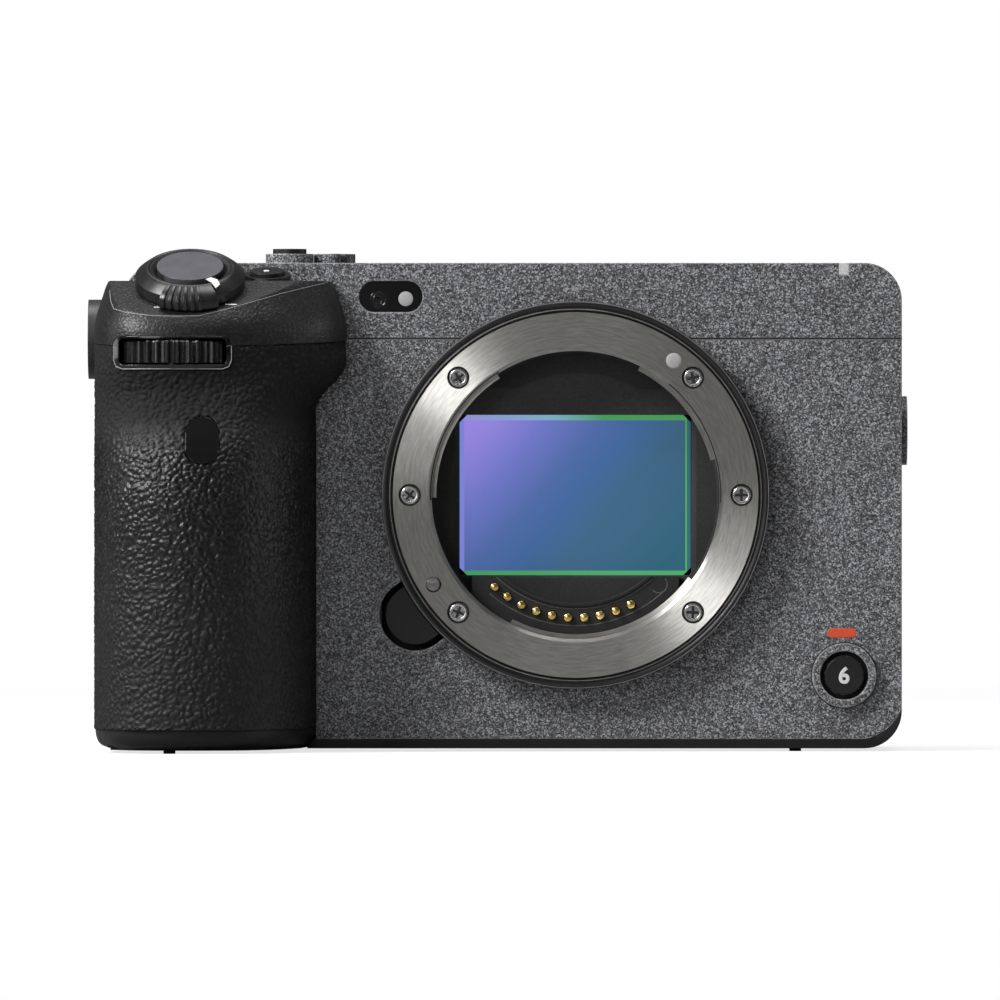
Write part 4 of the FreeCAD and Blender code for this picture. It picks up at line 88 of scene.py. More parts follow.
class Graph:
    """A material's node tree, built by chained calls."""

    def __init__(self, name):
        self.material = bpy.data.materials.new(name)
        self.material.use_nodes = True
        self.tree = self.material.node_tree
        self.tree.nodes.clear()
        self.out = self.add("ShaderNodeOutputMaterial")
        self.object_point = self.add("ShaderNodeTexCoord").outputs["Object"]

    def add(self, kind, **settings):
        """A new node with its own settings."""
        node = self.tree.nodes.new(kind)
        for key, value in settings.items():
            setattr(node, key, value)
        return node

    def wire(self, value, socket):
        """Links an output to a socket, or sets the socket's own value."""
        if isinstance(value, bpy.types.NodeSocket):
            self.tree.links.new(value, socket)
        else:
            socket.default_value = value

    def math(self, operation, first, second, clamp=False):
        """Arithmetic on two numbers."""
        node = self.add("ShaderNodeMath", operation=operation, use_clamp=clamp)
        self.wire(first, node.inputs[0])
        self.wire(second, node.inputs[1])
        return node.outputs[0]

    def vector(self, operation, first, second=(0, 0, 0)):
        """Arithmetic on vectors; a length or a dot product comes out as a number."""
        node = self.add("ShaderNodeVectorMath", operation=operation)
        self.wire(first, node.inputs[0])
        if operation == "SCALE":
            self.wire(second, node.inputs["Scale"])
        else:
            self.wire(second, node.inputs[1])
        return node.outputs["Value" if operation in ("LENGTH", "DOT_PRODUCT") else "Vector"]

    def split(self, vector):
        """A vector's three numbers."""
        node = self.add("ShaderNodeSeparateXYZ")
        self.wire(vector, node.inputs[0])
        return node.outputs

    def noise(self, scale, detail, roughness=0.5, point=None):
        """Soft noise, by default over the object's own coordinates."""
        node = self.add("ShaderNodeTexNoise")
        self.wire(point or self.object_point, node.inputs["Vector"])
        node.inputs["Scale"].default_value = scale
        node.inputs["Detail"].default_value = detail
        node.inputs["Roughness"].default_value = roughness
        return node.outputs["Fac"]

    def cells(self, scale, feature="F1", output="Distance"):
        """Cellular pattern over the object's own coordinates."""
        node = self.add("ShaderNodeTexVoronoi", feature=feature)
        self.wire(self.object_point, node.inputs["Vector"])
        node.inputs["Scale"].default_value = scale
        return node.outputs[output]

    def ramp(self, value, stops):
        """A number from 0 to 1 turned into a colour by (place, colour) stops."""
        node = self.add("ShaderNodeValToRGB")
        elements = node.color_ramp.elements
        while len(elements) < len(stops):
            elements.new(0.5)
        for element, (place, colour) in zip(elements, stops):
            element.position = place
            element.color = colour
        self.wire(value, node.inputs[0])
        return node.outputs["Color"]

    def span(self, value, low, high, to_low, to_high):
        """A value carried from one range to another."""
        node = self.add("ShaderNodeMapRange")
        for socket, number in zip(node.inputs, (value, low, high, to_low, to_high)):
            self.wire(number, socket)
        return node.outputs[0]

    def mix(self, share, first, second):
        """Two colours mixed by a share from 0 to 1."""
        node = self.add("ShaderNodeMix", data_type="RGBA")
        self.wire(share, node.inputs["Factor"])
        self.wire(first, node.inputs["A"])
        self.wire(second, node.inputs["B"])
        return node.outputs["Result"]

    def soft_edges(self, radius):
        """A normal rounded over edges, with a radius in metres."""
        node = self.add("ShaderNodeBevel", samples=4)
        node.inputs["Radius"].default_value = radius
        return node.outputs["Normal"]

    def worn_lit_edge(self, rounded, flat_above, edge_below, share):
        """How far an edge is lightened, as rubbed wear and as a painted edge highlight: nought on a face,
        up to a share where the rounded normal leaves it.
        """
        flat = self.add("ShaderNodeNewGeometry").outputs["Normal"]
        return self.span(self.vector("DOT_PRODUCT", rounded, flat), flat_above, edge_below, 0.0, share)

    def bump(self, height, strength, distance, normal=None):
        """A normal tilted by a relief of the given depth in metres."""
        node = self.add("ShaderNodeBump")
        node.inputs["Strength"].default_value = strength
        node.inputs["Distance"].default_value = distance
        self.wire(height, node.inputs["Height"])
        if normal is not None:
            self.wire(normal, node.inputs["Normal"])
        return node.outputs["Normal"]

    def shade(self, colour, roughness, normal=None, **sockets):
        """Ends the graph with a principled shader; further sockets are given by name."""
        node = self.add("ShaderNodeBsdfPrincipled")
        self.wire(colour, node.inputs["Base Color"])
        self.wire(roughness, node.inputs["Roughness"])
        if normal is not None:
            self.wire(normal, node.inputs["Normal"])
        for key, value in sockets.items():
            self.wire(value, node.inputs[key.replace("_", " ")])
        self.tree.links.new(node.outputs[0], self.out.inputs["Surface"])
        return self.material


def moulded(name, dark, light, roughness, grain=2600, relief=0.25, **sockets):
    """Moulded or coated surface: cloudy tone, fine grain in colour and relief, softened edges lightened in
    patches, partly rubbed wear and partly a painted edge highlight.
    """
    g = Graph(name)
    cloud = g.noise(55, 3.0)
    fine = g.noise(grain, 3.0, 0.6)
    tone = g.math("ADD", g.math("MULTIPLY", cloud, 0.45), g.math("MULTIPLY", fine, 0.55))
    colour = g.ramp(tone, [(0.35, dark), (0.65, light)])
    rounded = g.soft_edges(0.00025)
    # Edges turn lighter in noisy patches: rubbed wear, and a painted highlight where edges would catch the
    # light.
    worn_and_lit = g.worn_lit_edge(rounded, 0.995, 0.90, 0.35)
    rubbed_and_lit = g.math("MULTIPLY", worn_and_lit, g.span(g.noise(240, 4.0), 0.42, 0.62, 0.0, 1.0), clamp=True)
    edge_light_tone = tuple(min(1.0, value * 2.2 + 0.02) for value in light[:3]) + (1.0,)
    colour = g.mix(rubbed_and_lit, colour, edge_light_tone)
    rough = g.span(g.noise(420, 4.0), 0.3, 0.7, roughness - 0.05, roughness + 0.07)
    return g.shade(colour, rough, g.bump(fine, relief, 0.00004, rounded), **sockets)


CORNER_MIDDLE = (44.6, 0, 9.8)
CORNER_RADIUS = 8.5


def speckled(name, mid, corner=False):
    """Sparkling grey paint: light and dark flakes in a dark coat, its edges lightened as a painted
    highlight; black past the lower corner if asked.
    """
    g = Graph(name)
    flakes = g.split(g.cells(4700, output="Color"))[0]
    fine = g.noise(7400, 1.0, 0.6)
    tone = g.math("ADD", g.math("MULTIPLY", flakes, 0.6), g.math("MULTIPLY", fine, 0.4))
    stops = [
        (0.20, grey(max(4, mid - 66))),
        (0.44, grey(mid - 18)),
        (0.62, srgb(mid + 12, mid + 13, mid + 17)),
        (0.82, srgb(mid + 84, mid + 85, mid + 90)),
    ]
    colour = g.ramp(tone, stops)
    rounded = g.soft_edges(0.0004)
    # Painted highlight: the paint turns much lighter along every edge, where the rim would catch the light.
    colour = g.mix(g.worn_lit_edge(rounded, 0.998, 0.93, 0.5), colour, grey(min(235, mid + 95)))
    if corner:
        from_middle = g.vector("SUBTRACT", g.object_point, mm(*CORNER_MIDDLE))
        from_middle = g.vector("MULTIPLY", from_middle, (1, 0, 1))
        right, _, up = g.split(from_middle)[:3]
        beyond = g.math("GREATER_THAN", g.vector("LENGTH", from_middle), CORNER_RADIUS * MM)
        quarter = g.math("MULTIPLY", g.math("GREATER_THAN", right, 0.0), g.math("LESS_THAN", up, 0.0))
        colour = g.mix(g.math("MULTIPLY", beyond, quarter), colour, grey(24))
    rough = g.span(flakes, 0.0, 1.0, 0.43, 0.65)
    normal = g.bump(g.math("ADD", flakes, fine), 0.35, 0.00006, rounded)
    return g.shade(colour, rough, normal, Metallic=0.15, Specular_IOR_Level=0.4)


def turned_metal(name, colour_low, colour_high, roughness, anisotropy, relief):
    """Metal turned on a lathe: fine streaks along circles about the lens axis."""
    g = Graph(name)
    from_axis = g.vector("SUBTRACT", g.object_point, mm(0, 0, AXIS_Z))
    flattened = g.vector("MULTIPLY", from_axis, (1, 0, 1))
    radius = g.vector("LENGTH", flattened)
    x, _, z = g.split(flattened)[:3]
    metres_per_radian = 0.0022
    polar = g.add("ShaderNodeCombineXYZ")
    g.wire(radius, polar.inputs[0])
    g.wire(g.math("MULTIPLY", g.math("ARCTAN2", z, x), metres_per_radian), polar.inputs[1])
    streaks = g.noise(3600, 3.0, 0.65, point=polar.outputs[0])
    colour = g.ramp(streaks, [(0.34, colour_low), (0.66, colour_high)])
    rough = g.span(streaks, 0.3, 0.7, roughness - 0.02, roughness + 0.03)
    normal = g.bump(streaks, relief, 0.00001)
    outward = g.vector("NORMALIZE", flattened)
    return g.shade(colour, rough, normal, Metallic=1.0, Anisotropic=anisotropy, Tangent=outward)


def plated(name, low, high, roughness):
    """Small plated or machined part with fine scratches and soft edges."""
    g = Graph(name)
    stretched = g.vector("MULTIPLY", g.object_point, (0.25, 1.0, 1.0))
    scratch = g.noise(1800, 3.0, 0.6, point=stretched)
    colour = g.ramp(scratch, [(0.35, low), (0.65, high)])
    rough = g.span(g.noise(500, 3.0), 0.3, 0.7, roughness - 0.05, roughness + 0.06)
    normal = g.bump(scratch, 0.12, 0.00001, g.soft_edges(0.00015))
    return g.shade(colour, rough, normal, Metallic=1.0)


def glazed(name, low, high, roughness, coat=1.0):
    """Dark glass or gloss lacquer with faint smears."""
    g = Graph(name)
    smear = g.noise(90, 4.0, 0.6)
    colour = g.ramp(smear, [(0.35, low), (0.65, high)])
    rough = g.span(smear, 0.3, 0.7, roughness, roughness + 0.05)
    normal = g.bump(g.noise(300, 2.0), 0.02, 0.00002, g.soft_edges(0.0002))
    return g.shade(colour, rough, normal, Coat_Weight=coat)


def leather(name):
    """Black leather between its modelled pebbles: fine wrinkles, and a sheen that varies with height."""
    g = Graph(name)
    wrinkle = g.cells(2600, "DISTANCE_TO_EDGE")
    fine = g.noise(6200, 3.0, 0.6)
    cloud = g.noise(80, 3.0)
    tone = g.math("ADD", g.math("MULTIPLY", cloud, 0.5), g.math("MULTIPLY", fine, 0.5))
    colour = g.ramp(tone, [(0.32, grey(5)), (0.68, grey(13))])
    height = g.split(g.object_point)[2]
    finger_rest = (0.047, 0.053)
    lower_half = (0.012, 0.038)
    matt_above = g.span(height, *finger_rest, 0.0, 0.42)
    matt_below = g.span(height, *lower_half, 0.22, 0.0)
    rough = g.math("ADD", g.span(cloud, 0.3, 0.7, 0.31, 0.39), g.math("ADD", matt_below, matt_above))
    relief = g.math("ADD", g.span(wrinkle, 0.0, 0.25, 0.0, 1.0), g.math("MULTIPLY", fine, 0.5))
    return g.shade(colour, rough, g.bump(relief, 0.4, 0.00004), Specular_IOR_Level=0.38)


def grained(name, dark, light, roughness):
    """Moulded surface with a leather-like grain of shallow cells."""
    g = Graph(name)
    cell = g.span(g.cells(1300, "DISTANCE_TO_EDGE"), 0.0, 0.3, 0.0, 1.0)
    fine = g.noise(4200, 3.0, 0.6)
    tone = g.math("ADD", g.math("MULTIPLY", cell, 0.4), g.math("MULTIPLY", fine, 0.6))
    colour = g.ramp(tone, [(0.3, dark), (0.75, light)])
    rough = g.span(g.noise(320, 3.0), 0.3, 0.7, roughness - 0.04, roughness + 0.06)
    height = g.math("ADD", cell, g.math("MULTIPLY", fine, 0.6))
    normal = g.bump(height, 0.5, 0.00007, g.soft_edges(0.00035))
    return g.shade(colour, rough, normal, Specular_IOR_Level=0.4)


SENSOR_TONES = [
    (0.0, srgb(162, 142, 236)),
    (0.10, srgb(151, 136, 226)),
    (0.25, srgb(112, 120, 200)),
    (0.40, srgb(80, 107, 168)),
    (0.50, srgb(66, 104, 157)),
    (0.62, srgb(62, 100, 131)),
    (0.90, srgb(46, 93, 115)),
    (1.0, srgb(44, 96, 112)),
]
GLASS_WIDE = 36.9
GLASS_HIGH = 25.4


def filter_glass(name):
    """Coated cover glass over the sensor: a colour that drifts across it, and bright bands at its edges; it
    also glows in that colour, painted light that brightens it in the shade of the mount.
    """
    g = Graph(name)
    x, _, z = g.split(g.object_point)[:3]
    low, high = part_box("sensor_glass")
    across = g.span(x, low.x, high.x, 0.0, 1.0)
    up = g.span(z, low.z, high.z, 0.0, 1.0)
    down = g.math("SUBTRACT", 1.0, up)
    slant = g.math("ADD", g.math("MULTIPLY", across, 0.62), g.math("MULTIPLY", down, 0.38))
    drift = g.math("MULTIPLY", g.math("SUBTRACT", g.noise(45, 1.0), 0.5), 0.05)
    colour = g.ramp(g.math("ADD", slant, drift), SENSOR_TONES)
    in_left = g.math("MULTIPLY", across, GLASS_WIDE)
    in_right = g.math("MULTIPLY", g.math("SUBTRACT", 1.0, across), GLASS_WIDE)
    in_top = g.math("MULTIPLY", down, GLASS_HIGH)
    in_foot = g.math("MULTIPLY", up, GLASS_HIGH)
    top_stops = [(0.0, srgb(150, 150, 222)), (0.4, srgb(128, 178, 200)), (0.62, srgb(74, 158, 92))]
    bands = (
        (in_left, 0.75, srgb(128, 138, 222)),
        (in_top, 0.85, g.ramp(across, top_stops)),
        (in_foot, 0.72, srgb(76, 160, 104)),
        (in_right, 0.6, srgb(52, 104, 112)),
    )
    for inset, width, tone in bands:
        colour = g.mix(g.math("LESS_THAN", inset, width), colour, tone)
    line = g.math("MULTIPLY", g.math("GREATER_THAN", in_right, 0.6), g.math("LESS_THAN", in_right, 0.85))
    colour = g.mix(line, colour, srgb(84, 166, 92))
    # Painted glow: the base colour is dimmed and the same colour is given back as emission, though the
    # glass is no lamp.
    dimmed = g.vector("SCALE", colour, 0.45)
    return g.shade(dimmed, 0.25, Specular_IOR_Level=0.25, Emission_Color=colour, Emission_Strength=0.85)


BODY_PAINT = speckled("body_paint_speckled", 100, corner=True)
RIM_PAINT = speckled("rim_paint_speckled", 64)
BLACK_PLASTIC = moulded("black_plastic_fine", grey(11), grey(20), 0.5, Specular_IOR_Level=0.3)
SOFT_BLACK = moulded("soft_black_coat", grey(15), grey(26), 0.46, 3400, 0.3, Specular_IOR_Level=0.35)
HOOD_BLACK = grained("hood_grained_coat", grey(14), grey(32), 0.40)
GLOSS_BLACK = glazed("gloss_black_lacquer", grey(3), grey(7), 0.14, 0.35)
DARK_RUBBER = moulded("dark_rubber", grey(10), grey(18), 0.62, relief=0.4, Specular_IOR_Level=0.3)
DIAL_BLACK = moulded("dial_black", grey(18), grey(32), 0.24, grain=1800, Specular_IOR_Level=0.7)
LEVER_BLACK = moulded("lever_satin_black", grey(15), grey(24), 0.32, grain=3000, relief=0.12)
DISC_SATIN = moulded("button_disc_satin", srgb(66, 65, 70), srgb(80, 79, 84), 0.36, grain=3600, relief=0.12)
BUTTON_BLACK = moulded("button_black", grey(15), grey(28), 0.42, Specular_IOR_Level=0.35)
BUTTON_GREY = moulded("button_grey", grey(88), grey(108), 0.44, grain=3000, relief=0.2)
RECORD_RED = moulded("record_red", srgb(150, 22, 16), srgb(182, 34, 24), 0.4)
LEATHER = leather("black_pebbled_leather")
RING_METAL = turned_metal("mount_ring_turned", srgb(166, 165, 161), srgb(198, 196, 192), 0.4, 0.96, 0.08)
TRIM_METAL = moulded("trim_ring_black", grey(5), grey(10), 0.3, Specular_IOR_Level=0.3)
SCREW_METAL = plated("screw_steel", grey(190), grey(225), 0.24)
SPRING_METAL = plated("spring_steel", grey(120), grey(160), 0.35)
PIN_GOLD = plated("contact_gold", srgb(206, 172, 92), srgb(244, 218, 150), 0.2)
THREAD_METAL = plated("thread_steel", grey(120), grey(170), 0.34)
BOSS_COAT = moulded("boss_dark_coat", grey(26), grey(44), 0.42, grain=3400)
INNER_BLACK = moulded("matt_inner_black", grey(42), grey(56), 0.72, grain=3600, Specular_IOR_Level=0.2)
GATE_BLACK = moulded("gate_black", grey(28), grey(38), 0.5, Specular_IOR_Level=0.3)
CURTAIN_BLACK = moulded("curtain_black", grey(58), grey(72), 0.6, Specular_IOR_Level=0.15)
CHASSIS_ALLOY = moulded("chassis_alloy", grey(96), grey(128), 0.42, Metallic=0.9)
HEAT_ALLOY = moulded("heat_alloy", grey(120), grey(150), 0.4, Metallic=0.9)
BOARD_GREEN = moulded("board_green", srgb(20, 62, 40), srgb(34, 84, 56), 0.5)
BATTERY_CASE = moulded("battery_case", grey(36), grey(50), 0.5)
CHIP_DARK = moulded("sensor_package", grey(14), grey(24), 0.5, Specular_IOR_Level=0.2)
SCREEN_GLASS = glazed("screen_glass", grey(5), grey(11), 0.05)
WINDOW_SMOKE = glazed("window_smoke", grey(5), grey(12), 0.1, 0.4)
TALLY_MILK = moulded("tally_milk", grey(176), grey(206), 0.35)
SENSOR_GLASS = filter_glass("sensor_glass_painted_glow")

FINISHES = {
    "front_cover": BODY_PAINT,
    "top_cover": BODY_PAINT,
    "side_cover": BODY_PAINT,
    "rear_cover": SOFT_BLACK,
    "bottom_cover": BLACK_PLASTIC,
    "base_feet": DARK_RUBBER,
    "grip_core": BLACK_PLASTIC,
    "grip_leather": LEATHER,
    "grip_top_cover": HOOD_BLACK,
    "front_dial_bezel": GLOSS_BLACK,
    "front_dial": DIAL_BLACK,
    "rear_dial": DIAL_BLACK,
    "mount_trim_ring": TRIM_METAL,
    "lens_mount_ring": RING_METAL,
    "mount_screws": SCREW_METAL,
    "mount_springs": SPRING_METAL,
    "lens_lock_pin": SPRING_METAL,
    "lens_release_button": SOFT_BLACK,
    "contact_block": GATE_BLACK,
    "contact_pins": PIN_GOLD,
    "light_baffle": INNER_BLACK,
    "shutter_frame": CURTAIN_BLACK,
    "shutter_curtain": CURTAIN_BLACK,
    "sensor_glass": SENSOR_GLASS,
    "image_sensor": CHIP_DARK,
    "sensor_stage": CHASSIS_ALLOY,
    "stabiliser_carriage": CHASSIS_ALLOY,
    "stabiliser_base": CHASSIS_ALLOY,
    "chassis": CHASSIS_ALLOY,
    "main_board": BOARD_GREEN,
    "heat_sink": HEAT_ALLOY,
    "cooling_fan": BLACK_PLASTIC,
    "battery": BATTERY_CASE,
    "battery_door": BLACK_PLASTIC,
    "battery_latch": BUTTON_GREY,
    "card_door": SOFT_BLACK,
    "card_slots": BATTERY_CASE,
    "port_door_front": BLACK_PLASTIC,
    "port_door_rear": BLACK_PLASTIC,
    "port_sockets": THREAD_METAL,
    "monitor_panel": SOFT_BLACK,
    "monitor_screen": SCREEN_GLASS,
    "monitor_hinge": SOFT_BLACK,
    "zoom_lever": LEVER_BLACK,
    "shutter_button": DISC_SATIN,
    "iso_button": BUTTON_BLACK,
    "white_balance_button": BUTTON_BLACK,
    "top_record_button": RECORD_RED,
    "front_record_button": BUTTON_BLACK,
    "power_switch": RIM_PAINT,
    "control_wheel": DIAL_BLACK,
    "joystick": BUTTON_BLACK,
    "menu_button": BUTTON_GREY,
    "playback_button": BUTTON_GREY,
    "accessory_shoe": THREAD_METAL,
    "tripod_socket": THREAD_METAL,
    "thread_bushes": BOSS_COAT,
    "case_screws": SCREW_METAL,
    "tally_window": TALLY_MILK,
    "front_windows": WINDOW_SMOKE,
}


def dress(item, material):
    """Gives every material slot of an object the same material."""
    if not item.material_slots:
        item.data.materials.append(material)
    for slot in item.material_slots:
        slot.material = material


for node, material in FINISHES.items():
    dress(NODES[node], material)

# Tools for the small pieces: each is built about its own origin, facing +Z, and then set on a surface

FACING_FRONT = Matrix(((1, 0, 0), (0, 0, -1), (0, 1, 0)))
FACING_BACK = Matrix(((-1, 0, 0), (0, 0, 1), (0, 1, 0)))
FACING_UP = Matrix.Identity(3)
FORWARD = (0, -1, 0)
BACKWARD = (0, 1, 0)
DOWN = (0, 0, -1)
OUTSIDE = 300
SHARP_DEGREES = 32
POINT_SPACING = 0.6


def link(name, data):
    """A new object in the scene for a mesh, curve, lamp or camera."""
    item = bpy.data.objects.new(name, data)
    bpy.context.scene.collection.objects.link(item)
    return item


def from_bmesh(name, bm, smooth=True):
    """The object of a mesh being built: its seams closed, its faces outward, smooth up to sharp edges."""
    mesh = bpy.data.meshes.new(name)
    bmesh.ops.remove_doubles(bm, verts=bm.verts, dist=1e-7)
    bmesh.ops.recalc_face_normals(bm, faces=bm.faces)
    bm.to_mesh(mesh)
    bm.free()
    for face in mesh.polygons:
        face.use_smooth = smooth
    item = link(name, mesh)
    if smooth:
        mesh.set_sharp_from_angle(angle=math.radians(SHARP_DEGREES))
    return item


def lathe(name, profile, start=0.0, end=360.0, steps=128):
    """Solid of revolution from (radius, height) pairs in millimetres, whole or an arc in degrees."""
    bm = bmesh.new()
    closed = end - start >= 360
    count = steps if closed else steps + 1
    rings = []
    for index in range(count):
        angle = math.radians(start + (end - start) * index / steps)
        rings.append([bm.verts.new(mm(r * math.cos(angle), r * math.sin(angle), h)) for r, h in profile])
    pairs = list(zip(rings, rings[1:])) + ([(rings[-1], rings[0])] if closed else [])
    for first, second in pairs:
        for index in range(len(profile) - 1):
            corners = [first[index], second[index], second[index + 1], first[index + 1]]
            bm.faces.new(corners)
    if not closed:
        bm.faces.new(rings[0])
        bm.faces.new(rings[-1])
    return from_bmesh(name, bm)


def slab(name, outline, thickness, edge=0.0):
    """Flat plate from an outline in millimetres, counter-clockwise, with a chamfered upper edge."""
    bm = bmesh.new()
    count = len(outline)
    points = [Vector(point) for point in outline]
    inner = []
    for index, point in enumerate(points):
        along = (points[(index + 1) % count] - points[index - 1]).normalized()
        inner.append(point + Vector((-along.y, along.x)) * edge)
    foot = [bm.verts.new(mm(p.x, p.y, 0)) for p in points]
    side = [bm.verts.new(mm(p.x, p.y, thickness - edge)) for p in points]
    top = [bm.verts.new(mm(p.x, p.y, thickness)) for p in inner]
    for lower, upper in ((foot, side), (side, top)):
        for index in range(count):
            following = (index + 1) % count
            bm.faces.new([lower[index], lower[following], upper[following], upper[index]])
    bm.faces.new(top)
    bm.faces.new(list(reversed(foot)))
    return from_bmesh(name, bm)


def round_rect(wide, high, radius, steps=8):
    """Outline of a rounded rectangle about the origin."""
    points = []
    for corner, (side_x, side_y) in enumerate(((1, 1), (-1, 1), (-1, -1), (1, -1))):
        for index in range(steps + 1):
            angle = math.radians(90 * corner + 90 * index / steps)
            points.append((side_x * (wide / 2 - radius) + radius * math.cos(angle),
                           side_y * (high / 2 - radius) + radius * math.sin(angle)))
    return points


def box_mm(node):
    """A node's two corners in millimetres."""
    return [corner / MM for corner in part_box(node)]


def middle_of(node):
    """The middle of a node's box and half its width, in millimetres."""
    low, high = box_mm(node)
    return (low + high) / 2, (high.x - low.x) / 2


def touch(origin, direction):
    """Where a ray first meets the object, and the surface's normal there."""
    depsgraph = bpy.context.evaluated_depsgraph_get()
    hit, place, normal, *_ = bpy.context.scene.ray_cast(depsgraph, mm(*origin), Vector(direction))
    if not hit:
        raise RuntimeError(f"no surface from {origin} along {direction}")
    return place, normal


def facing(normal):
    """Rotation that turns +Z to a normal and keeps +X level."""
    side = (Vector((1, 0, 0)) - normal * normal.x).normalized()
    return Matrix((side, normal.cross(side), normal)).transposed()


def set_down(item, place, turn, spin=0.0, sink=0.0):
    """Moves a piece's mesh to its place: spun about its own axis, turned, and sunk a little."""
    spun = Matrix.Rotation(math.radians(spin), 3, "Z")
    whole = (turn @ spun).to_4x4()
    whole.translation = place - turn @ Vector((0, 0, sink * MM))
    item.data.transform(whole)


def settle(item, material, body):
    """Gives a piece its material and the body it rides."""
    dress(item, material)
    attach(item, body)
    return item


def front_at(x, z):
    """Where the object's forward side lies at one place of the front view, and its normal there."""
    return touch((x, -OUTSIDE, z), BACKWARD)


def front_depth(x, z):
    """The same place's depth in millimetres."""
    return front_at(x, z)[0].y / MM


def on_front(item, x, z, material, slot, body="camera_body", sink=0.02):
    """Sets a piece on whatever faces forward at one place of the front view."""
    set_down(item, front_at(x, z)[0], FACING_FRONT, sink=sink)
    return settle(item, material, body)


def on_skin(item, x, z, material, body="camera_body", sink=0.02):
    """The same, but turned to the surface's own slope."""
    place, normal = front_at(x, z)
    set_down(item, place, facing(normal), sink=sink)
    return settle(item, material, body)


def bead(name, points, radius):
    """Thin round bead along points in metres, closed at its ends."""
    bm = bmesh.new()
    sides = 8
    rings = []
    for index, point in enumerate(points):
        ahead = points[min(index + 1, len(points) - 1)] - points[max(index - 1, 0)]
        side = ahead.cross(Vector((0, 1, 0))).normalized()
        up = side.cross(ahead).normalized()
        rings.append([bm.verts.new(point + (side * math.cos(turn) + up * math.sin(turn)) * radius * MM)
                      for turn in (2 * math.pi * step / sides for step in range(sides))])
    for first, second in zip(rings, rings[1:]):
        for step in range(sides):
            following = (step + 1) % sides
            bm.faces.new([first[step], second[step], second[following], first[following]])
    bm.faces.new(rings[0])
    bm.faces.new(rings[-1])
    return from_bmesh(name, bm)


def along_front(corners, sink):
    """Points on the forward surface along a polyline of the front view, in metres."""
    found = []
    for (x0, z0), (x1, z1) in zip(corners, corners[1:]):
        steps = max(1, round(math.hypot(x1 - x0, z1 - z0) / POINT_SPACING))
        for step in range(steps + (1 if (x1, z1) == corners[-1] else 0)):
            share = step / steps
            place, normal = front_at(x0 + (x1 - x0) * share, z0 + (z1 - z0) * share)
            found.append(place - normal * sink * MM)
    return found


# Small pieces and printed marks seen from the front

INK_WHITE = moulded("ink_white", grey(206), grey(222), 0.5, grain=3000, relief=0.08)
INDEX_PALE = moulded("index_pale", grey(150), grey(168), 0.4, grain=3000, relief=0.08)
INK_RED = moulded("ink_red_orange", srgb(196, 66, 34), srgb(222, 84, 44), 0.5, grain=3000, relief=0.08)
# Near-black for thin pieces that stand for the shade in gaps, wells and grooves: painted shade.
GAP_SHADE = moulded("painted_groove_shade", grey(12), grey(20), 0.7)
# Light grey for thin strips along edges and ridge tops: painted highlights.
EDGE_HIGHLIGHT = moulded("seam_edge", grey(92), grey(128), 0.5)
LENS_DEEP = glazed("window_lens", grey(6), grey(16), 0.04)
RIM_BLACK = moulded("rim_black_satin", grey(15), grey(24), 0.34, grain=3000, relief=0.15)
# Bright grey for beads along edges: painted highlights.
BEAD_HIGHLIGHT = moulded("painted_bead_highlight", grey(120), grey(160), 0.3, grain=3000, relief=0.1)


def seam(name, material, low, high):
    """Thin strip between two heights round the front and the right side, just proud of the paint."""
    left, right, rear = -36.4, box_mm("front_cover")[1].x, box_mm("side_cover")[1].y
    bm = bmesh.new()
    path = [(left, FRONT_Y), (right, FRONT_Y), (right, rear)]
    proud = [(0, -0.02), (0.02, -0.02), (0.02, 0)]
    inner = [[bm.verts.new(mm(x, y, z)) for z in (low, high)] for x, y in path]
    raised = [(x + dx, y + dy) for (x, y), (dx, dy) in zip(path, proud)]
    outer = [[bm.verts.new(mm(x, y, z)) for z in (low, high)] for x, y in raised]
    for index in range(2):
        a, b = outer[index], outer[index + 1]
        c, d = inner[index], inner[index + 1]
        bm.faces.new([a[0], b[0], b[1], a[1]])
        bm.faces.new([c[1], d[1], d[0], c[0]])
        bm.faces.new([a[1], b[1], d[1], c[1]])
        bm.faces.new([a[0], c[0], d[0], b[0]])
    bm.faces.new([outer[0][0], outer[0][1], inner[0][1], inner[0][0]])
    bm.faces.new([outer[2][1], outer[2][0], inner[2][0], inner[2][1]])
    return settle(from_bmesh(name, bm, smooth=False), material, "camera_body")


SEAM_Z = box_mm("front_cover")[1].z
# A dark strip stands for the shade in the gap between the covers (painted shade), and a light strip under
# it is a painted highlight on the cover's edge.
seam("cover_seam", GAP_SHADE, SEAM_Z - 0.13, SEAM_Z + 0.13)
seam("cover_seam_edge", EDGE_HIGHLIGHT, SEAM_Z - 0.26, SEAM_Z - 0.14)

MOUNT_INDEX = (15.7, 62.1)
WINDOW_LAMP = (-27.2, 72.05)
WINDOW_LENS = (-31.6, 71.9)
RECORD_MARK = (42.7, 18.5)
dome = [(0, 0.16), (0.5, 0.15), (0.9, 0.11), (1.18, 0.04), (1.28, 0.0), (1.28, -0.1), (0, -0.1)]
on_front(lathe("mount_index", dome, steps=48), *MOUNT_INDEX, INDEX_PALE, "mount_steel")
small_dome = [(0, 0.12), (0.6, 0.11), (1.0, 0.07), (1.24, 0.0), (1.24, -0.1), (0, -0.1)]
on_front(lathe("window_lamp", small_dome, steps=48), *WINDOW_LAMP, INDEX_PALE, "tally_plastic")
lens_rings = [(0, 0.02), (0.55, 0.05), (0.62, 0.12), (0.8, 0.12), (0.86, 0.04), (1.15, 0.04), (1.2, 0.14),
              (1.34, 0.14), (1.4, 0.0), (1.4, -0.1), (0, -0.1)]
on_front(lathe("window_lens_rings", lens_rings, steps=48), *WINDOW_LENS, LENS_DEEP, "window_smoke")

record_mark = slab("record_mark", round_rect(4.6, 1.5, 0.7), 0.05, 0.01)
on_front(record_mark, *RECORD_MARK, INK_RED, "button_red")


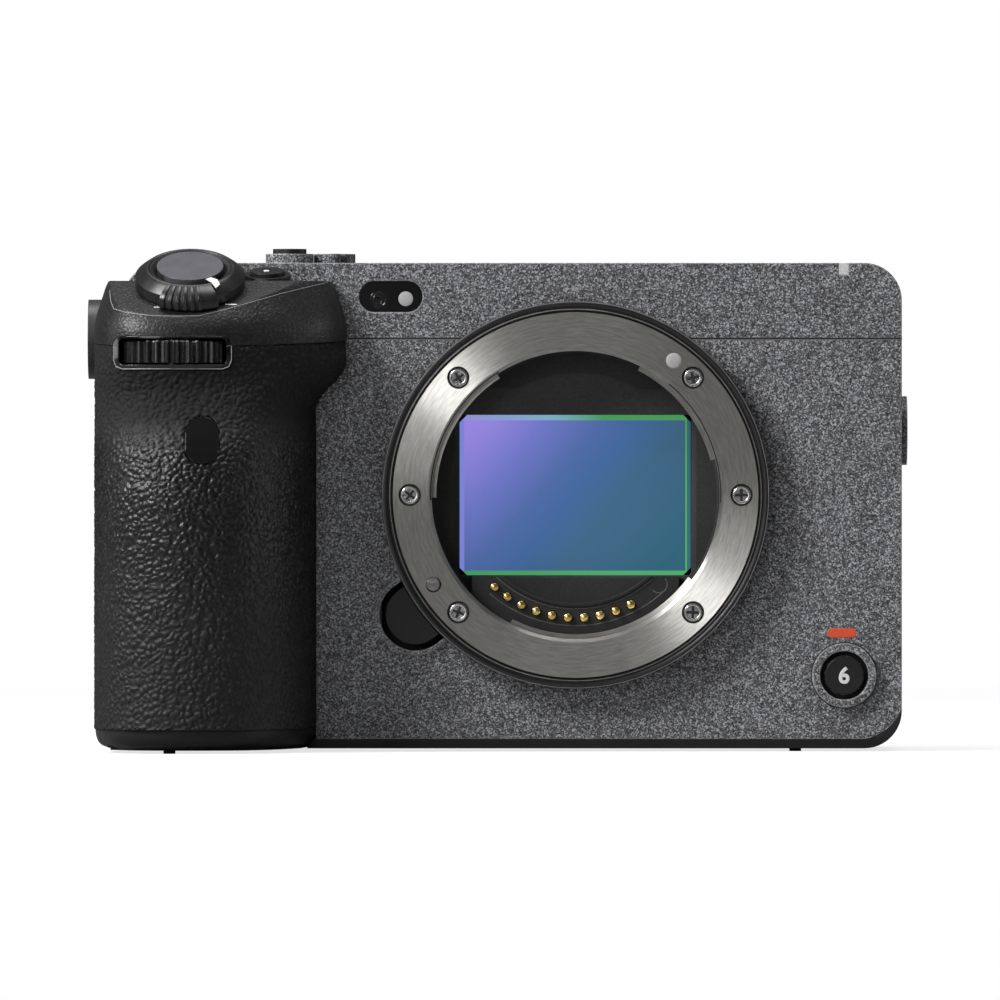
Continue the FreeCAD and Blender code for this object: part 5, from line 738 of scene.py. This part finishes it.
def numeral(name, text, size, x, z, body):
    """Raised printed number on whatever faces forward there."""
    curve = bpy.data.curves.new(name + "_curve", "FONT")
    curve.body = text
    curve.size = size * MM
    curve.extrude = 0.03 * MM
    curve.offset = 0.12 * MM
    curve.resolution_u = 6
    curve.align_x = "CENTER"
    curve.align_y = "CENTER"
    drawn = link(name + "_curve", curve)
    mesh = bpy.data.meshes.new_from_object(drawn.evaluated_get(bpy.context.evaluated_depsgraph_get()))
    bpy.data.objects.remove(drawn)
    item = link(name, mesh)
    middle = sum((vertex.co for vertex in mesh.vertices), Vector()) / len(mesh.vertices)
    mesh.transform(Matrix.Translation(Vector((-middle.x, -middle.y, 0))))
    return on_front(item, x, z, INK_WHITE, "button_black", body, sink=-0.02)


RECORD_X = 43.05
RECORD_Z = 11.7
NUMERAL_Z = 11.45
numeral("record_numeral", "6", 3.6, RECORD_X, NUMERAL_Z, "front_record_button")


def square_ring(inner, outer, foot, top):
    """Closed section of a flat ring with square edges."""
    return [(inner, foot), (inner, top), (outer, top), (outer, foot), (inner, foot)]


# Dark rings round the front record button: painted shade in the gaps about it.
for name, inner, outer, beside in (("record_collar_shade", 5.2, 5.34, 5.6), ("record_well", 3.2, 3.82, 3.5)):
    ring = lathe(name, square_ring(inner, outer, -0.05, 0.03), steps=72)
    set_down(ring, mm(RECORD_X, front_depth(RECORD_X + beside, RECORD_Z), RECORD_Z), FACING_FRONT)
    settle(ring, GAP_SHADE, "camera_body")

for name, x, z, wide in (("zoom_mark_near", -66.5, 70.45, 1.3), ("zoom_mark_far", -54.9, 70.9, 1.9)):
    on_skin(slab(name, round_rect(wide, 0.32, 0.14), 0.06, 0.01), x, z, INK_WHITE)
ISO_BUTTON = (-49.45, -20.6)
place, normal = touch((*ISO_BUTTON, OUTSIDE), DOWN)
iso_dot = lathe("iso_dot", [(0, 0.05), (0.42, 0.05), (0.46, 0.0), (0.46, -0.06), (0, -0.06)], steps=32)
set_down(iso_dot, place, facing(normal))
settle(iso_dot, INK_WHITE, "iso_button")

# Mount: banded trim ring, and the shallow track that the contact pins stand in


def on_axis(item, y):
    """Sets a piece built about +Z on the lens axis, facing the front."""
    set_down(item, mm(0, y, AXIS_Z), FACING_FRONT)
    return item


trim_front = box_mm("mount_trim_ring")[0].y
BAND = [(29.5, -0.05), (29.55, 0.10), (29.66, 0.14), (29.8, 0.14), (29.9, 0.02), (30.12, 0.02),
        (30.2, 0.16), (30.3, 0.22), (30.8, 0.22), (30.96, 0.14), (31.03, 0.0), (31.03, -0.05)]
LINES = (("trim_highlight_inner", 29.66, 29.8, 0.165), ("trim_highlight_outer", 30.84, 30.95, 0.235))
bands = on_axis(lathe("trim_bands", BAND + BAND[:1], steps=256), trim_front)
settle(bands, RIM_BLACK, "camera_body")

# Light lines on the tops of the trim ring's ridges: painted highlights.
for name, inner, outer, high in LINES:
    section = [(inner, 0.05), (inner, high), (outer, high - 0.02), (outer, 0.05), (inner, 0.05)]
    line = on_axis(lathe(name, section, steps=256), trim_front)
    settle(line, EDGE_HIGHLIGHT, "camera_body")

TRACK_EDGE = moulded("track_edge", grey(66), grey(88), 0.4, grain=3000, relief=0.1)
block_face = front_depth(0, AXIS_Z - 21.6)
RIDGE_WIDE = 0.24
RIDGE_HIGH = 0.07
TRACK_RADIUS = 19.6
TRACK_END = math.radians(-47)


def ridge(radius):
    """Low rounded ridge as a closed section."""
    half, shoulder = RIDGE_WIDE / 2, RIDGE_WIDE / 2 * 0.6
    section = [(radius - half, -0.04), (radius - shoulder, RIDGE_HIGH * 0.8), (radius, RIDGE_HIGH),
               (radius + shoulder, RIDGE_HIGH * 0.8), (radius + half, -0.04)]
    return section + section[:1]


RIDGES = (
    ("contact_lip", 17.6, 232.0, 308.0),
    ("contact_track_inner", 18.25, 226.0, 312.5),
    ("contact_track_outer", 20.95, 229.0, 313.0),
)
for name, radius, start, end in RIDGES:
    arc = lathe(name, ridge(radius), start, end, 120)
    settle(on_axis(arc, block_face), TRACK_EDGE, "camera_body")
end_arc = lathe("contact_track_end", ridge(1.35), -47.0, 133.0, 40)
end_middle = mm(TRACK_RADIUS * math.cos(TRACK_END), block_face, AXIS_Z + TRACK_RADIUS * math.sin(TRACK_END))
set_down(end_arc, end_middle, FACING_FRONT, spin=-90)
settle(end_arc, TRACK_EDGE, "camera_body")

# Leather of the grip: a finer mesh of the same skin, with creases sunk in between its pebbles

VOXEL = 0.22
PEBBLE = 1.1
PEBBLE_STRETCH = 1.25
CREASE_SHARE = 0.55
RELIEF = 0.3
GRIP_MIDDLE = (-57, -5)
OUTWARD_LEAST = 0.2
WARP_SEED = 1


def pebbled(name, node):
    """Remeshed copy of a node whose outward side carries rounded cells parted by creases."""
    copy = link(name + "_source", NODES[node].data.copy())
    remesh = copy.modifiers.new("even", "REMESH")
    remesh.mode = "VOXEL"
    remesh.voxel_size = VOXEL * MM
    remesh.use_smooth_shade = True
    mesh = bpy.data.meshes.new_from_object(copy.evaluated_get(bpy.context.evaluated_depsgraph_get()))
    bpy.data.objects.remove(copy)
    mesh.name = name
    normals = [vertex.normal.copy() for vertex in mesh.vertices]
    for vertex, normal in zip(mesh.vertices, normals):
        outward = Vector((vertex.co.x - GRIP_MIDDLE[0] * MM, vertex.co.y - GRIP_MIDDLE[1] * MM, 0))
        if normal.dot(outward.normalized()) < OUTWARD_LEAST:
            continue
        point = vertex.co / (PEBBLE * MM)
        point.z *= PEBBLE_STRETCH
        warp = noise.noise_vector(point * 0.5) * 0.6
        near, second, *_ = noise.voronoi(point + warp)[0]
        crease = 1 - min(1.0, max(0.0, (second - near) / CREASE_SHARE))
        dip = crease * crease + 0.25 * (0.5 + 0.5 * noise.noise(point * 0.45))
        vertex.co -= normal * (min(1.0, dip) * RELIEF * MM)
    item = link(name, mesh)
    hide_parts(node)
    return settle(item, LEATHER, "camera_body")


noise.seed_set(WARP_SEED)
pebbled("grip_leather_skin", "grip_leather")

# Screws of the mount: a bright rolled edge in each head, and dark rings and crosses that paint the shade in
# its well and cross recess

SPIN_STEP = 17


def many(name, build, places, material):
    """Copies of one small shape at several places of the mount's face, as one mesh."""
    bm = bmesh.new()
    for index, (x, y, z) in enumerate(places):
        part = build(f"{name}_{index}")
        set_down(part, mm(x, y, z), FACING_FRONT, spin=SPIN_STEP * index)
        bm.from_mesh(part.data)
        bpy.data.objects.remove(part)
    return settle(from_bmesh(name, bm), material, "camera_body")


SCREW_CIRCLE = 26.55
HEAD_FRONT = FLANGE_Y + 0.2
WELL = square_ring(1.47, 1.78, -0.25, -0.08)
ROLLED = [(0.98, -0.02), (1.04, 0.06), (1.18, 0.11), (1.34, 0.08), (1.43, -0.03), (0.98, -0.02)]
SLOT = 0.19
ARM = 0.95
CROSS = [(SLOT, SLOT), (SLOT, ARM), (-SLOT, ARM), (-SLOT, SLOT), (-ARM, SLOT), (-ARM, -SLOT),
         (-SLOT, -SLOT), (-SLOT, -ARM), (SLOT, -ARM), (SLOT, -SLOT), (ARM, -SLOT), (ARM, SLOT)]
screws = []
for degrees in (0, 45, 135, 180, 225, 315):
    turn = math.radians(degrees)
    screws.append((SCREW_CIRCLE * math.cos(turn), HEAD_FRONT, AXIS_Z + SCREW_CIRCLE * math.sin(turn)))
# Painted shade: dark rings in the wells round the heads and dark crosses in their recesses.
many("screw_well_shades", lambda name: lathe(name, WELL, steps=40), screws, GAP_SHADE)
many("screw_edges", lambda name: lathe(name, ROLLED, steps=40), screws, SCREW_METAL)
many("screw_cross_shades", lambda name: slab(name, CROSS, 0.03), screws, GAP_SHADE)

# Painted highlights: bright beads along the crest of the hood and the lower rim of the front dial's bezel,
# where these edges would catch the light

CREST = [(-74.35, 73.2), (-74.1, 71.5), (-73.6, 70.25), (-71.5, 69.6), (-68.0, 69.15),
         (-64.0, 69.0), (-60.0, 69.05), (-55.4, 70.2), (-47.2, 72.65), (-39.2, 74.75)]
# Bright bead along the hood's crest: a painted highlight.
settle(bead("hood_crest_highlight", along_front(CREST, 0.03), 0.07), BEAD_HIGHLIGHT, "camera_body")

bezel_low, bezel_high = box_mm("front_dial_bezel")
BEZEL_INSET = 0.12
left, right = bezel_low.x + BEZEL_INSET, bezel_high.x - BEZEL_INSET
foot, head = bezel_low.z + BEZEL_INSET, bezel_high.z - 1.6
rim = [(left, head), (left, foot + 1.4), (left + 0.4, foot + 0.4), (left + 1.4, foot), (right - 1.4, foot),
       (right - 0.4, foot + 0.4), (right, foot + 1.4), (right, head)]
# Bright bead along the bezel's lower rim: a painted highlight.
settle(bead("bezel_rim_highlight", along_front(rim, 0.02), 0.08), BEAD_HIGHLIGHT, "camera_body")

# Front dial: narrow ribs with deep valleys

RIBS = 30
RIB_POINTS = ((-4.2, 7.35), (-1.5, 8.05), (0, 8.18), (1.5, 8.05), (4.2, 7.35))
dial_low, dial_high = box_mm("front_dial")
outline = []
for rib in range(RIBS):
    for degrees, radius in RIB_POINTS:
        angle = math.radians(360 * rib / RIBS + degrees)
        outline.append((radius * math.cos(angle), radius * math.sin(angle)))
dial = slab("front_dial_ribbed", outline, dial_high.z - dial_low.z, 0.22)
centre = (dial_low + dial_high) / 2
dial.data.transform(Matrix.Translation(mm(centre.x, centre.y, dial_low.z)))
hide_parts("front_dial")
settle(dial, DIAL_BLACK, "front_dial")

# Zoom lever: satin rim round a well, and a ribbed thumb tab; dark pieces paint the shade in the well, on
# the disc's side and between the tab's ribs

LEVER_X = -61.5
LEVER_Y = -26.85
DISC_TALL = 3.4
DISC_RADIUS = 5.3
disc_top, lever_axis = touch((LEVER_X, LEVER_Y - 1, OUTSIDE), DOWN)


def on_lever(item, material, body="zoom_lever"):
    """Stands a piece built about +Z on the lever's own base."""
    height = lever_axis.dot(disc_top) / MM - DISC_TALL - lever_axis.y * LEVER_Y
    set_down(item, mm(LEVER_X, LEVER_Y, height / lever_axis.z), facing(lever_axis))
    return settle(item, material, body)


SHELL = [(5.6, 0.02), (5.6, 2.2), (5.75, 2.3), (6.5, 2.98), (6.66, 3.12), (6.84, 3.16),
         (7.08, 3.08), (7.4, 2.84), (8.2, 2.2), (8.74, 1.7), (8.74, 0.02), (5.6, 0.02)]
shell = lathe("zoom_lever_shell", SHELL)
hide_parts("zoom_lever")
on_lever(shell, LEVER_BLACK)
LEVER_WELL = [(5.5, 2.2), (5.58, 2.33), (6.42, 3.0), (6.42, 2.9), (5.7, 2.2), (5.5, 2.2)]
# Dark ring in the well round the disc: painted shade.
on_lever(lathe("lever_well_shade", LEVER_WELL), GAP_SHADE)
skirt = square_ring(5.1, DISC_RADIUS + 0.03, 2.2, 3.3)
# Dark ring over the disc's side: painted shade.
on_lever(lathe("disc_skirt_shade", skirt), GAP_SHADE, "shutter_button")
TAB = [(6.95, 2.6), (7.05, 3.1), (7.5, 3.05), (8.7, 2.6), (9.7, 1.9), (10.0, 1.4), (10.0, 0.3), (9.8, 0.06),
       (7.0, 0.06), (6.95, 2.6)]


def swollen(outward, upward):
    """The thumb tab's section, with its outer points moved outward and its upper points upward."""
    outer = [(radius + outward if radius > 7 else radius, height) for radius, height in TAB]
    return [(radius, height + upward if height > 1 else height) for radius, height in outer]


# Dark layer under the tab's ribs: painted shade in the grooves between them.
on_lever(lathe("lever_groove_shade", swollen(0.03, 0.03), 243.4, 281.5, 30), GAP_SHADE)
on_lever(lathe("lever_tab", TAB, 241, 298, 40), LEVER_BLACK)
for rib in range(6):
    middle = 245.0 + 7.0 * rib
    on_lever(lathe(f"lever_rib_{rib}", swollen(0.26, 0.12), middle - 1.7, middle + 1.7, 6), LEVER_BLACK)
POINTER = [(-1.2, 0.6), (-0.22, 0.0), (0.46, -1.3), (1.15, -0.2), (0.7, 0.9), (-0.35, 1.2)]
pointer = slab("lever_pointer", POINTER, 0.12, 0.02)
on_skin(pointer, -57.75, 74.35, INK_WHITE, "zoom_lever", sink=0.03)

# Painted shade in the lock pin's clearance, and a painted shadow on the step between the mount's face and
# its claws

LOCK_PIN = (-22.75, FLANGE_Y, 26.24)
# Dark ring round the lock pin: painted shade.
clearance = lathe("lock_pin_clearance_shade", square_ring(1.07, 1.24, -0.1, 0.012), steps=40)
set_down(clearance, mm(*LOCK_PIN), FACING_FRONT)
settle(clearance, GAP_SHADE, "camera_body")
# Dark arcs on the step by the claws: painted shadow.
STEP_RADIUS = 23.3
for name, start, end in (("claw_step_shadow_left", 122.0, 182.0), ("claw_step_shadow_right", -3.0, 50.0)):
    turn = math.radians((start + end) / 2)
    face = front_depth(STEP_RADIUS * math.cos(turn), AXIS_Z + STEP_RADIUS * math.sin(turn))
    step = lathe(name, square_ring(23.12, 23.5, -0.1, 0.02), start, end, 60)
    settle(on_axis(step, face), GAP_SHADE, "camera_body")

# Rear and top: ribs and marks on the control wheel, rings round buttons, and the monitor frame's edge

BUTTON_MARK = moulded("button_mark", grey(150), grey(176), 0.5, grain=3000, relief=0.08)


def back_depth(x, z):
    """Depth in millimetres of whatever faces backward at one place."""
    return touch((x, OUTSIDE, z), FORWARD)[0].y / MM


def mark_back(item, x, z, body):
    """Sets a pale mark on whatever faces backward at one place."""
    set_down(item, mm(x, back_depth(x, z), z), FACING_BACK, sink=0.02)
    return settle(item, BUTTON_MARK, body)


def flat_ring(inner, outer):
    """Section of a low ring with sloped shoulders."""
    high = 0.14
    shoulder, slope = high * 0.7, 0.08
    return [(inner, -0.05), (inner, shoulder), (inner + slope, high), (outer - slope, high),
            (outer, shoulder), (outer, -0.05), (inner, -0.05)]


WHEEL_RIBS = 48
wheel, wheel_radius = middle_of("control_wheel")
knurl = bmesh.new()
for step in range(WHEEL_RIBS):
    turn = math.radians(360 / WHEEL_RIBS * step)
    rib = slab(f"wheel_rib_{step}", round_rect(1.5, 0.32, 0.14, 3), 0.16, 0.04)
    rib.data.transform(Matrix.Rotation(turn, 4, "Z") @ Matrix.Translation(mm(wheel_radius - 1.15, 0, 0)))
    knurl.from_mesh(rib.data)
    bpy.data.objects.remove(rib)
ribs = from_bmesh("wheel_ribs", knurl)
wheel_face = back_depth(wheel.x + wheel_radius - 1.2, wheel.z)
set_down(ribs, mm(wheel.x, wheel_face, wheel.z), FACING_BACK, sink=0.03)
settle(ribs, DIAL_BLACK, "control_wheel")
MARK_RADIUS = wheel_radius * 0.62
for index in range(4):
    turn = math.radians(90 * index)
    x, z = wheel.x + MARK_RADIUS * math.cos(turn), wheel.z + MARK_RADIUS * math.sin(turn)
    mark = lathe(f"wheel_mark_{index}", [(0, 0.04), (0.3, 0.04), (0.34, -0.04), (0, -0.04)], steps=24)
    mark_back(mark, x, z, "control_wheel")

for node in ("menu_button", "playback_button"):
    centre, radius = middle_of(node)
    ring = lathe(node + "_ring", flat_ring(radius + 0.16, radius + 0.62), steps=64)
    set_down(ring, mm(centre.x, back_depth(centre.x + radius + 0.5, centre.z), centre.z), FACING_BACK)
    settle(ring, RIM_BLACK, "camera_body")
    mark = slab(node + "_mark", round_rect(1.3, 0.34, 0.15, 4), 0.05, 0.01)
    mark_back(mark, centre.x, centre.z, node)

FRAME_GAP = 0.5
EDGE_SINK = 0.03
screen_low, screen_high = box_mm("monitor_screen")
screen = (screen_low + screen_high) / 2
wide, high = screen_high.x - screen_low.x + FRAME_GAP, screen_high.z - screen_low.z + FRAME_GAP
edge = [mm(screen.x + x, back_depth(screen.x + x, screen.z + z) - EDGE_SINK, screen.z + z)
        for x, z in round_rect(wide, high, 1.4, 5)]
settle(bead("monitor_frame_edge", edge + edge[:1], 0.09), RIM_BLACK, "monitor")

record, radius = middle_of("top_record_button")
height = touch((record.x + radius + 0.6, record.y, OUTSIDE), DOWN)[0].z / MM
ring = lathe("top_record_ring", flat_ring(radius + 0.18, radius + 0.7), steps=72)
set_down(ring, mm(record.x, record.y, height), FACING_UP)
settle(ring, RIM_PAINT, "camera_body")

# Floor, backdrop, lamps and camera


def backdrop_material(name, colour):
    """Pale floor that rises to plain white away from the object, and still takes the object's shadow."""
    g = Graph(name)
    diffuse = g.add("ShaderNodeBsdfDiffuse")
    share = g.span(g.vector("LENGTH", g.object_point), 0.15, 0.9, 0.0, 1.0)
    g.wire(g.mix(share, colour, (0, 0, 0, 1)), diffuse.inputs["Color"])
    light = g.add("ShaderNodeEmission")
    path = g.add("ShaderNodeLightPath")
    seen = g.math("MAXIMUM", path.outputs["Is Camera Ray"], path.outputs["Is Transmission Ray"])
    g.wire(g.math("MULTIPLY", seen, g.span(share, 0.0, 1.0, 0.74, 1.0)), light.inputs["Strength"])
    both = g.add("ShaderNodeAddShader")
    g.tree.links.new(diffuse.outputs[0], both.inputs[0])
    g.tree.links.new(light.outputs[0], both.inputs[1])
    g.tree.links.new(both.outputs[0], g.out.inputs["Surface"])
    return g.material


FLOOR_Z = -0.5
FLOOR_REACH = 2500
SIDES = ((-1, -1), (1, -1), (1, 1), (-1, 1))
floor_mesh = bpy.data.meshes.new("floor")
floor_corners = [mm(x * FLOOR_REACH, y * FLOOR_REACH, FLOOR_Z) for x, y in SIDES]
floor_mesh.from_pydata(floor_corners, [], [(0, 1, 2, 3)])
floor = link("floor", floor_mesh)
dress(floor, backdrop_material("floor_pale", grey(150)))
floor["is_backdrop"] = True

world = bpy.data.worlds.new("studio")
bpy.context.scene.world = world
world.use_nodes = True
tree = world.node_tree
tree.nodes.clear()
world_out = tree.nodes.new("ShaderNodeOutputWorld")


def even_light(strength):
    """White surroundings of one strength."""
    node = tree.nodes.new("ShaderNodeBackground")
    node.inputs["Color"].default_value = (1, 1, 1, 1)
    node.inputs["Strength"].default_value = strength
    return node


ambient = even_light(0.13)
seen_white = even_light(1.0)
path = tree.nodes.new("ShaderNodeLightPath")
choose = tree.nodes.new("ShaderNodeMixShader")
tree.links.new(path.outputs["Is Camera Ray"], choose.inputs[0])
tree.links.new(ambient.outputs[0], choose.inputs[1])
tree.links.new(seen_white.outputs[0], choose.inputs[2])
tree.links.new(choose.outputs[0], world_out.inputs["Surface"])

AIM = (-10, -10, 40)


def softbox(name, place, wide, high, power):
    """Rectangular lamp facing the object."""
    data = bpy.data.lights.new(name, "AREA")
    data.shape = "RECTANGLE"
    data.size = wide * MM
    data.size_y = high * MM
    data.energy = power
    item = link(name, data)
    item.location = mm(*place)
    item.rotation_mode = "QUATERNION"
    item.rotation_quaternion = (mm(*AIM) - item.location).to_track_quat("-Z", "Y")
    return item


softbox("key", (-700, -460, 650), 340, 340, 13.5)
softbox("fill", (-420, -1000, 270), 420, 420, 1.5)
softbox("top", (0, 40, 900), 800, 420, 6.0)
softbox("rim_left", (-900, 60, 160), 260, 700, 1.6)
softbox("rim_right", (900, 60, 160), 260, 700, 1.6)

SENSOR_WIDTH = 36.0
CAMERA_AWAY = 2400.0
PICTURE_PIXELS = 1000
PIXELS_PER_MM = 6.24
camera_data = bpy.data.cameras.new("camera")
camera_data.sensor_width = SENSOR_WIDTH
camera_data.lens = SENSOR_WIDTH * CAMERA_AWAY / (PICTURE_PIXELS / PIXELS_PER_MM)
camera_data.clip_start = 0.01
camera_data.clip_end = 20.0
camera = link("camera", camera_data)
camera.location = mm(-12.1, FRONT_Y - CAMERA_AWAY, 39.8)
camera.rotation_euler = (math.radians(90), 0, 0)
bpy.context.scene.camera = camera
bpy.context.scene.view_settings.view_transform = "Standard"

low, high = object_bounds()
